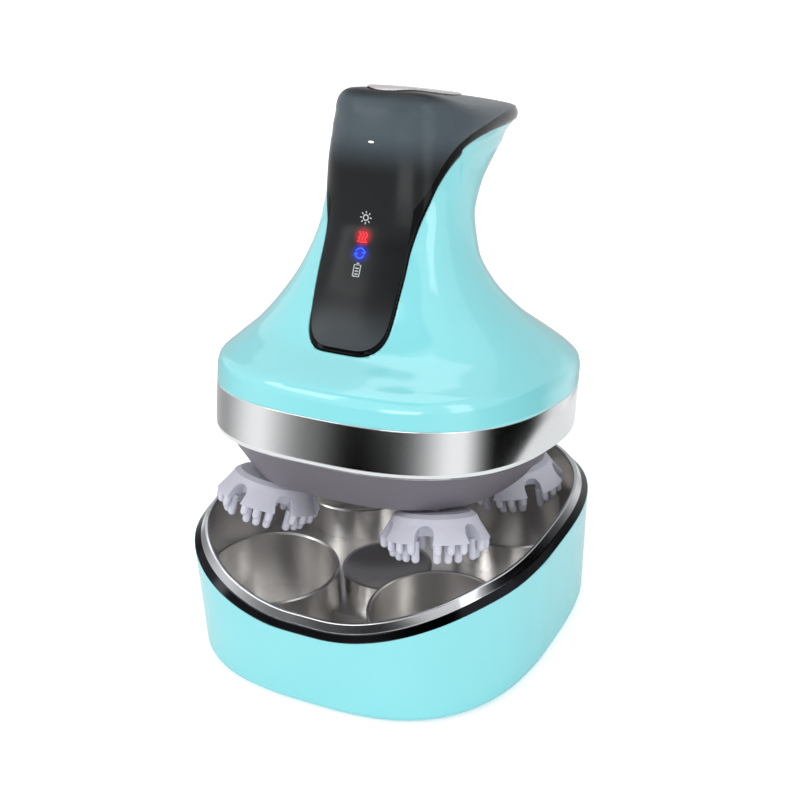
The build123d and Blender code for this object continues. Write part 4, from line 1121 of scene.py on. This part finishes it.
    def button_cap(self) -> bpy.types.Object:
        """Pearl button: a low dome over the teardrop with a rounded rim.

        Returns:
            The button's mesh.
        """
        button, around = self.button, self.cap_columns
        middle, half = (button.front + button.back) / 2, (button.back - button.front) / 2
        turn = np.linspace(0, 2 * math.pi, around, endpoint=False)
        outline_y = middle + half * np.cos(turn)
        outline_x = np.sign(np.sin(turn)) * button.width(outline_y)
        points, faces = [], []
        core_y = button.front + (button.back - button.front) / 3
        inward = np.linspace(0, 1, self.cap_rings) ** self.cap_bias * self.cap_reach
        shares = np.concatenate([(1.0, 1.0), 1 - inward])
        rounding = button.rim_drop * (1 - soft_step(inward / button.rim_share))
        drops = np.concatenate([(button.skirt, button.rim_drop), rounding])
        for share, drop in zip(shares, drops):
            x = outline_x * share
            y = core_y + (outline_y - core_y) * share
            z = self.shape.crown_height(x, y) + button.proud - drop
            points.extend(np.stack([x, y, z], -1))
        total = len(shares)
        for ring in range(total - 1):
            for i in range(around):
                a, b = ring * around + i, ring * around + (i + 1) % around
                faces.append((a, b, b + around, a + around))
        faces.append(tuple((total - 1) * around + i for i in range(around)))
        faces.append(tuple(reversed(range(around))))
        return make_object("power_button_cap", HAND.place(np.array(points)), faces, [PEARL_PAINT])

    def build(self) -> None:
        """Makes the three pieces and puts each on its body."""
        pieces = ((self.bell(), "hand_unit", "bell_housing", "turquoise_abs"),
                  (self.cover(), "hand_unit", "front_cover", "black_abs"),
                  (self.button_cap(), "power_button", "power_button", "pearl_abs"))
        for thing, body, node, slot in pieces:
            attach(thing, body)
            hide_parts(node)
            LOG.info("piece %s stands for %s", thing.name, node)


# ---------------------------------------------------------------- metal hoops
# shares of the way round a corner at which its rounding has a row
CORNER_SHARES = (0.0, 0.3, 0.7, 1.0)
# rows of a corner with the one on the flat at either side
CORNER_ROWS = len(CORNER_SHARES) + 2
# how far out those two lie, as a multiple of the rounding's reach
FLAT_ROW = 1.5
# longest part of a flat that a rounding takes up
FLAT_SHARE = 0.3


def rounded(profile: Sequence[tuple[float, float, float]], reach: float) -> np.ndarray:
    """Rounds the corners of a closed profile.

    Args:
        profile: Inset, height and share of the rim's wave, corner by corner.
        reach: How far from a corner its rounding starts, in millimetres.

    Returns:
        The finer profile, with a row near each end of every flat so that it shades flat.
    """
    corners = np.array(profile, float)
    points = []
    for before, corner, after in zip(np.roll(corners, 1, 0), corners, np.roll(corners, -1, 0)):
        arms = []
        for other in (before, after):
            arm = other - corner
            length = float(np.hypot(arm[0], arm[1]))
            arms.append(arm / length * min(reach, FLAT_SHARE * length))
        points.append(corner + arms[0] * FLAT_ROW)
        for t in CORNER_SHARES:
            points.append(corner + arms[0] * (1 - t) ** 2 + arms[1] * t ** 2)
        points.append(corner + arms[1] * FLAT_ROW)
    return np.array(points)


@dataclass
class HoopSkin:
    """Fine mesh of a closed metal band round a rounded-square outline.

    A second finish, where there is one, goes on the flat between the profile's first two corners.
    """

    node: str
    body: str
    slot: str
    finish: Finish
    half_x: float
    half_y: float
    squareness: float
    profile: Sequence[tuple[float, float, float]]
    reach: float
    slant_finish: Finish | None = None
    steps: int = 360
    rim_dip: float = 28.5
    rim_side: float = 40.0
    dip_flat: float = 5.0
    dip_end: float = 55.0

    def rim(self, azimuth: np.ndarray) -> np.ndarray:
        """Height of the dock's wavy edge in a direction.

        Args:
            azimuth: Direction in radians, measured from the front.

        Returns:
            The height, lowest at the front.
        """
        off_front = np.degrees(np.abs(azimuth))
        return self.rim_dip + (self.rim_side - self.rim_dip) * soft_step(
            (off_front - self.dip_flat) / (self.dip_end - self.dip_flat))

    def build(self) -> bpy.types.Object:
        """Makes the band in place of its solid.

        Returns:
            The band's mesh.
        """
        azimuth = np.linspace(-math.pi, math.pi, self.steps, endpoint=False)
        across, along = np.sin(azimuth), -np.cos(azimuth)
        rows = []
        for inset, height, wave in rounded(self.profile, self.reach):
            size = ((np.abs(across) / (self.half_x - inset)) ** self.squareness
                    + (np.abs(along) / (self.half_y - inset)) ** self.squareness) ** (-1 / self.squareness)
            rows.append(np.stack([across * size, along * size, height + wave * self.rim(azimuth)], axis=1))
        points = np.concatenate(rows)
        count, n = len(rows), self.steps
        pairs = [(r * n, (r + 1) % count * n) for r in range(count)]
        faces = [(here + c, here + (c + 1) % n, there + (c + 1) % n, there + c)
                 for here, there in pairs for c in range(n)]
        place = points * MM if self.body == "dock" else HAND.place(points)
        finishes, slots = [self.finish], None
        if self.slant_finish is not None:
            finishes.append(self.slant_finish)
            slant = range(CORNER_ROWS // 2, CORNER_ROWS * 3 // 2)
            slots = [int(r in slant) for r in range(count) for _ in range(n)]
        band = make_object(f"{self.node}_skin", place, faces, finishes, slots)
        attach(band, self.body)
        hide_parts(self.node)
        LOG.info("hoop %s", band.name)
        return band


def metal_hoops() -> list[HoopSkin]:
    """The handle's polished ring and the trim on the dock's edge, as inset, height and wave.

    Returns:
        Both hoops.
    """
    ring = [(0.0, 0.0, 0), (0.0, -13.4, 0), (0.25, -14.5, 0), (0.85, -15.35, 0), (1.8, -15.8, 0),
            (3.2, -15.8, 0), (3.2, -14.1, 0), (1.7, -14.1, 0), (1.7, 0.0, 0)]
    trim = [(-1.2, 0.0, 1), (0.9, 2.0, 1), (2.4, 4.8, 1), (3.2, 4.8, 1), (3.6, 4.4, 1), (3.6, 3.6, 1),
            (2.2, 3.6, 1), (1.0, 1.0, 1), (1.0, 0.0, 1)]
    _, _, bell_half_y, bell_half_x, bell_squareness, _ = HandleShape.sections[0]
    return [HoopSkin("chrome_ring", "hand_unit", "chrome_plate", CHROME_PLATE, half_x=bell_half_x,
                     half_y=bell_half_y, squareness=bell_squareness, profile=ring, reach=0.25),
            # the trim's lower slant carries the painted dark reflection
            HoopSkin("dock_rim_trim", "dock", "chrome_plate", TRIM_PLATE, half_x=60.0, half_y=66.4,
                     squareness=2.8, profile=trim, reach=0.3, slant_finish=SLANT_PAINTED_REFLECTION)]


# ---------------------------------------------------------------- icons on the panel
class Icon(Enum):
    """The four signs on the panel's middle line, with the height of each in millimetres."""

    SUN = 57.3
    HEAT = 51.6
    ROTATION = 46.6
    BATTERY = 41.6


@dataclass
class IconSet:
    """Thin printed or lit signs that follow the curve of the panel."""

    shape: HandleShape = field(default_factory=HandleShape)
    line: float = 0.38
    raise_mm: float = 0.06
    sheet: float = 0.05
    lamp_height: float = 80.3
    lamp_half_x: float = 0.95
    lamp_half_z: float = 0.32
    lamp_points: int = 32
    finishes: dict[Icon, Finish] = field(default_factory=lambda: {
        Icon.SUN: GREY_INK, Icon.HEAT: RED_LAMP, Icon.ROTATION: BLUE_LAMP, Icon.BATTERY: GREY_INK})

    def on_panel(self, x: float, z: float) -> np.ndarray:
        """Point of the panel's face at a place seen from the front.

        Args:
            x: Distance to the right of the middle line.
            z: Height.

        Returns:
            The point, a little in front of the face.
        """
        front, back, half_x, squareness, _ = (float(v) for v in self.shape.section(np.array(z)))
        share = (1 - abs(x / half_x) ** squareness) ** (1 / squareness)
        return np.array([x, (front + back) / 2 - (back - front) / 2 * share - self.raise_mm, z])

    def strokes(self, icon: Icon) -> list[list[tuple[float, float]]]:
        """Lines of one sign, round its middle.

        Args:
            icon: The sign.

        Returns:
            Open lines as lists of (across, up).
        """
        def arc(radius: float, start: float, end: float) -> list[tuple[float, float]]:
            """Points along an arc round the middle, with the angles in degrees."""
            turns = np.radians(np.linspace(start, end, 17))
            return [(radius * math.cos(t), radius * math.sin(t)) for t in turns]

        if icon is Icon.SUN:
            disc, ray_ends, count = 0.85, (1.35, 2.0), 8
            turns = [2 * math.pi * i / count for i in range(count)]
            rays = [[(end * math.cos(t), end * math.sin(t)) for end in ray_ends] for t in turns]
            return [arc(disc, 0, 360)] + rays
        if icon is Icon.HEAT:
            sway, bend, height = 0.28, 1.7 * math.pi, 1.5
            rows = np.linspace(-0.7, 1, 13)
            waves = [[(x + sway * math.sin(bend * u), height * u - 0.1) for u in rows]
                     for x in (-1.1, 0.0, 1.1)]
            return waves + [[(-1.7, -1.6), (1.7, -1.6)]]
        if icon is Icon.ROTATION:
            turn_radius = 1.5
            head = [(1.9, 0.75), (1.45, -0.05), (0.7, 0.35)]
            far_head = [(-across, -up) for across, up in head]
            return [arc(turn_radius, 10, 160), arc(turn_radius, 190, 340), head, far_head]
        frame_line = [(-1.1, -1.9), (1.1, -1.9), (1.1, 1.5), (-1.1, 1.5), (-1.1, -1.9)]
        bars = [[(-0.6, z), (0.6, z)] for z in (-1.2, -0.35, 0.5)]
        return [frame_line, [(-0.45, 1.95), (0.45, 1.95)]] + bars

    def sign(self, icon: Icon) -> bpy.types.Object:
        """Lays the strokes of one sign on the panel as flat strips.

        Args:
            icon: The sign.

        Returns:
            The sign's mesh.
        """
        points: list[np.ndarray] = []
        faces: list[tuple[int, ...]] = []
        for stroke in self.strokes(icon):
            path = [np.array(p) for p in stroke]
            start = len(points)
            for i, here in enumerate(path):
                heading = path[min(i + 1, len(path) - 1)] - path[max(i - 1, 0)]
                side = np.array([-heading[1], heading[0]]) / np.linalg.norm(heading) * self.line / 2
                for place in (here + side, here - side):
                    points.append(self.on_panel(place[0], icon.value + place[1]))
            for i in range(len(path) - 1):
                a = start + 2 * i
                faces.append((a, a + 2, a + 3, a + 1))
        thing = make_object(f"icon_{icon.name.lower()}", HAND.place(np.array(points)), faces,
                            [self.finishes[icon]])
        thicken(thing, "sheet", self.sheet, 0)
        return thing

    def lamp_dot(self) -> bpy.types.Object:
        """Small clear lens of the working lamp near the panel's top.

        Returns:
            The lens's mesh.
        """
        count = self.lamp_points
        turns = [2 * math.pi * i / count for i in range(count)]
        rim = [self.on_panel(self.lamp_half_x * math.cos(turn),
                             self.lamp_height + self.lamp_half_z * math.sin(turn)) for turn in turns]
        thing = make_object("lamp_lens", HAND.place(np.array(rim)), [tuple(range(count))], [WHITE_LAMP])
        thicken(thing, "sheet", self.sheet, 0)
        return thing

    def build(self) -> None:
        """Makes the signs and the lamp lens and puts them on the hand unit."""
        for thing in [self.sign(icon) for icon in Icon] + [self.lamp_dot()]:
            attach(thing, "hand_unit")
            LOG.info("sign %s", thing.name)


# ---------------------------------------------------------------- studio
class TentTone(Enum):
    """What the tent band is made of, with how bright each looks from 0 to 1."""

    WALL = 0.75
    SHADED_WALL = 0.64
    LIT_SCREEN = 0.97
    BLACK_GAP = 0.04


@dataclass
class Studio:
    """Pale floor, soft lamps, the dark and light shapes that the metal mirrors, and the camera.

    Places and sizes of the stage are in metres, apart from the values whose names end in mm.
    """

    azimuth: float = 27.5
    elevation: float = 25.66
    roll: float = -1.84
    distance_mm: float = 484.76
    focal_px: float = 1447.24
    frame_px: int = 800
    aside_mm: float = 2.60
    aim_height_mm: float = 80.16
    room_light: float = 0.5
    band_radius: float = 0.2
    band_height: float = 0.1
    band_lift: float = 0.0005
    band_steps: int = 144
    # direction round the object in degrees from its front, what the band has there
    band_stops: Sequence[tuple[float, TentTone]] = (
        (-180, TentTone.WALL), (-120, TentTone.WALL), (-85, TentTone.SHADED_WALL),
        (-45, TentTone.LIT_SCREEN), (0, TentTone.BLACK_GAP), (5, TentTone.BLACK_GAP),
        (60, TentTone.LIT_SCREEN), (65, TentTone.LIT_SCREEN), (100, TentTone.BLACK_GAP),
        (120, TentTone.BLACK_GAP), (150, TentTone.LIT_SCREEN), (165, TentTone.WALL))
    eye_gamma: float = 2.2
    flag_middle: tuple[float, float, float] = (-0.03, -0.32, 0.51)
    flag_half_width: float = 0.36
    flag_half_depth: float = 0.13

    def floor(self) -> None:
        """Lays a wide sheet of white paper that curves up far behind."""
        front, curve_start, half_width, top = -3.0, 1.8, 4.5, 3.0
        curve_radius, steps = 1.2, 12
        rows = [(front, 0.0), (curve_start, 0.0)]
        for step in range(1, steps + 1):
            turn = math.pi / 2 * step / steps
            rows.append((curve_start + curve_radius * math.sin(turn), curve_radius * (1 - math.cos(turn))))
        rows.append((curve_start + curve_radius, top))
        points = [(side * half_width, y, z) for y, z in rows for side in (-1, 1)]
        faces = [(2 * i, 2 * i + 1, 2 * i + 3, 2 * i + 2) for i in range(len(rows) - 1)]
        paper = make_object("studio_floor", np.array(points), faces, [FLOOR_PAPER])

    def lamp(self, name: str, place: tuple[float, float, float], size: tuple[float, float],
             power: float, aim: tuple[float, float, float] = (0, 0, 0.08)) -> None:
        """Hangs one soft box.

        Args:
            name: The lamp's name.
            place: Its middle.
            size: Its width and height.
            power: Its light in watts.
            aim: The point that it faces.
        """
        light = bpy.data.lights.new(name, "AREA")
        light.shape = "RECTANGLE"
        light.size, light.size_y = size
        light.energy = power
        holder = bpy.data.objects.new(name, light)
        bpy.context.scene.collection.objects.link(holder)
        holder.location = place
        holder.rotation_mode = "QUATERNION"
        holder.rotation_quaternion = (Vector(aim) - Vector(place)).to_track_quat("-Z", "Y")

    def lamps(self) -> None:
        """Key box from the left front, weaker ones from the right, overhead and low in front."""
        self.lamp("key_box", place=(-0.9, -1.1, 1.1), size=(0.9, 0.9), power=8.5)
        self.lamp("side_box", place=(1.3, -0.4, 0.5), size=(0.5, 1.0), power=3.4)
        self.lamp("top_box", place=(0.0, 0.2, 1.5), size=(1.2, 1.2), power=5.5)
        self.lamp("low_box", place=(0.45, -1.2, 0.2), size=(0.7, 0.3), power=3.0, aim=(0, 0, 0.02))

    def mirror_only(self, thing: bpy.types.Object) -> None:
        """Hides a stage piece from everything but mirror reflections.

        Args:
            thing: The stage piece.
        """
        thing.visible_camera = False
        thing.visible_diffuse = False
        thing.visible_shadow = False
        thing.visible_transmission = False

    def band_material(self) -> bpy.types.Material:
        """Glow of the tent band: walls, screens and gaps that fade into each other as the eye sees it.

        Returns:
            The glowing material.
        """
        material = bpy.data.materials.new("tent_band")
        material.use_nodes = True
        tree = material.node_tree
        tree.nodes.clear()
        place = add_node(tree, "ShaderNodeTexCoord").outputs["Object"]
        parts = add_node(tree, "ShaderNodeSeparateXYZ", links={0: place})
        front = add_node(tree, "ShaderNodeMath", {"operation": "MULTIPLY", 1: -1.0},
                         {0: parts.outputs["Y"]})
        turn = add_node(tree, "ShaderNodeMath", {"operation": "ARCTAN2"},
                        {0: parts.outputs["X"], 1: front.outputs[0]})
        share = add_node(tree, "ShaderNodeMapRange", {"From Min": -math.pi, "From Max": math.pi},
                         {"Value": turn.outputs[0]})
        ramp = add_node(tree, "ShaderNodeValToRGB", links={"Fac": share.outputs["Result"]})
        fill_ramp(ramp, [((azimuth + 180) / 360, (tone.value, tone.value, tone.value, 1.0))
                         for azimuth, tone in self.band_stops])
        light = add_node(tree, "ShaderNodeMath", {"operation": "POWER", 1: self.eye_gamma},
                         {0: ramp.outputs["Color"]})
        glow = add_node(tree, "ShaderNodeEmission", {"Strength": 1.0}, {"Color": light.outputs[0]})
        add_node(tree, "ShaderNodeOutputMaterial", links={"Surface": glow.outputs[0]})
        return material

    def tent_band(self) -> None:
        """Low round screen that the metal ring mirrors, light and dark by turns."""
        steps, radius = self.band_steps, self.band_radius
        turns = [2 * math.pi * i / steps for i in range(steps)]
        points = [(radius * math.sin(t), -radius * math.cos(t), z)
                  for t in turns for z in (self.band_lift, self.band_height)]
        pairs = [(2 * i, 2 * ((i + 1) % steps)) for i in range(steps)]
        faces = [(here, there, there + 1, here + 1) for here, there in pairs]
        band = make_object("studio_band", np.array(points), faces, [])
        band.data.materials.append(self.band_material())
        self.mirror_only(band)

    def top_flag(self) -> None:
        """Dark cloth high in front, which the slanted outside of the dock's trim mirrors."""
        middle = Vector(self.flag_middle)
        across = Vector((1, 0, 0)) * self.flag_half_width
        along = middle.cross(across).normalized() * self.flag_half_depth
        corners = [middle - across - along, middle + across - along, middle + across + along,
                   middle - across + along]
        flag = make_object("studio_flag", np.array([tuple(c) for c in corners]), [(0, 1, 2, 3)],
                           [FLAG_CLOTH])
        self.mirror_only(flag)

    def world(self) -> None:
        """Even room light, and plain white where the eye or a mirror sees the room."""
        world = bpy.data.worlds.new("studio_world")
        bpy.context.scene.world = world
        world.use_nodes = True
        tree = world.node_tree
        tree.nodes.clear()
        path = add_node(tree, "ShaderNodeLightPath")
        seen = add_node(tree, "ShaderNodeMath", {"operation": "MAXIMUM"},
                        {0: path.outputs["Is Camera Ray"], 1: path.outputs["Is Glossy Ray"]})
        seen = add_node(tree, "ShaderNodeMath", {"operation": "MAXIMUM"},
                        {0: seen.outputs[0], 1: path.outputs["Is Transmission Ray"]})
        room = add_node(tree, "ShaderNodeBackground", {"Color": (1, 1, 1, 1), "Strength": self.room_light})
        white = add_node(tree, "ShaderNodeBackground", {"Color": (1, 1, 1, 1), "Strength": 1.0})
        mix = add_node(tree, "ShaderNodeMixShader", links={
            0: seen.outputs[0], 1: room.outputs[0], 2: white.outputs[0]})
        add_node(tree, "ShaderNodeOutputWorld", links={"Surface": mix.outputs[0]})

    def camera(self) -> None:
        """Sets the camera from its angles, distance and focal length."""
        a, e, roll = (math.radians(v) for v in (self.azimuth, self.elevation, self.roll))
        right = Vector((math.cos(a), math.sin(a), 0))
        back = Vector((math.sin(a) * math.cos(e), -math.cos(a) * math.cos(e), math.sin(e)))
        up = back.cross(right)
        right_rolled = right * math.cos(roll) + up * math.sin(roll)
        up_rolled = up * math.cos(roll) - right * math.sin(roll)
        target = right * self.aside_mm * MM + Vector((0, 0, self.aim_height_mm * MM))
        data = bpy.data.cameras.new("camera")
        data.sensor_width = 36.0
        data.lens = data.sensor_width * self.focal_px / self.frame_px
        data.clip_start, data.clip_end = 0.01, 20.0
        camera = bpy.data.objects.new("camera", data)
        bpy.context.scene.collection.objects.link(camera)
        turn = Matrix((right_rolled, up_rolled, back)).transposed().to_4x4()
        camera.matrix_world = Matrix.Translation(target + back * self.distance_mm * MM) @ turn
        bpy.context.scene.camera = camera

    def build(self) -> None:
        """Sets up the whole studio."""
        self.floor()
        self.world()
        self.lamps()
        self.tent_band()
        self.top_flag()
        self.camera()
        settings = bpy.context.scene.view_settings
        settings.view_transform = "Standard"
        LOG.info("studio ready")


def main() -> None:
    """Dresses the solids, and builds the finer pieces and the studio."""
    logging.basicConfig(level=logging.INFO, format="%(message)s")
    CadDress().dress()
    HandleSkin().build()
    for hoop in metal_hoops():
        hoop.build()
    IconSet().build()
    Studio().build()
    bpy.context.view_layer.update()


if __name__ == "__main__":
    main()
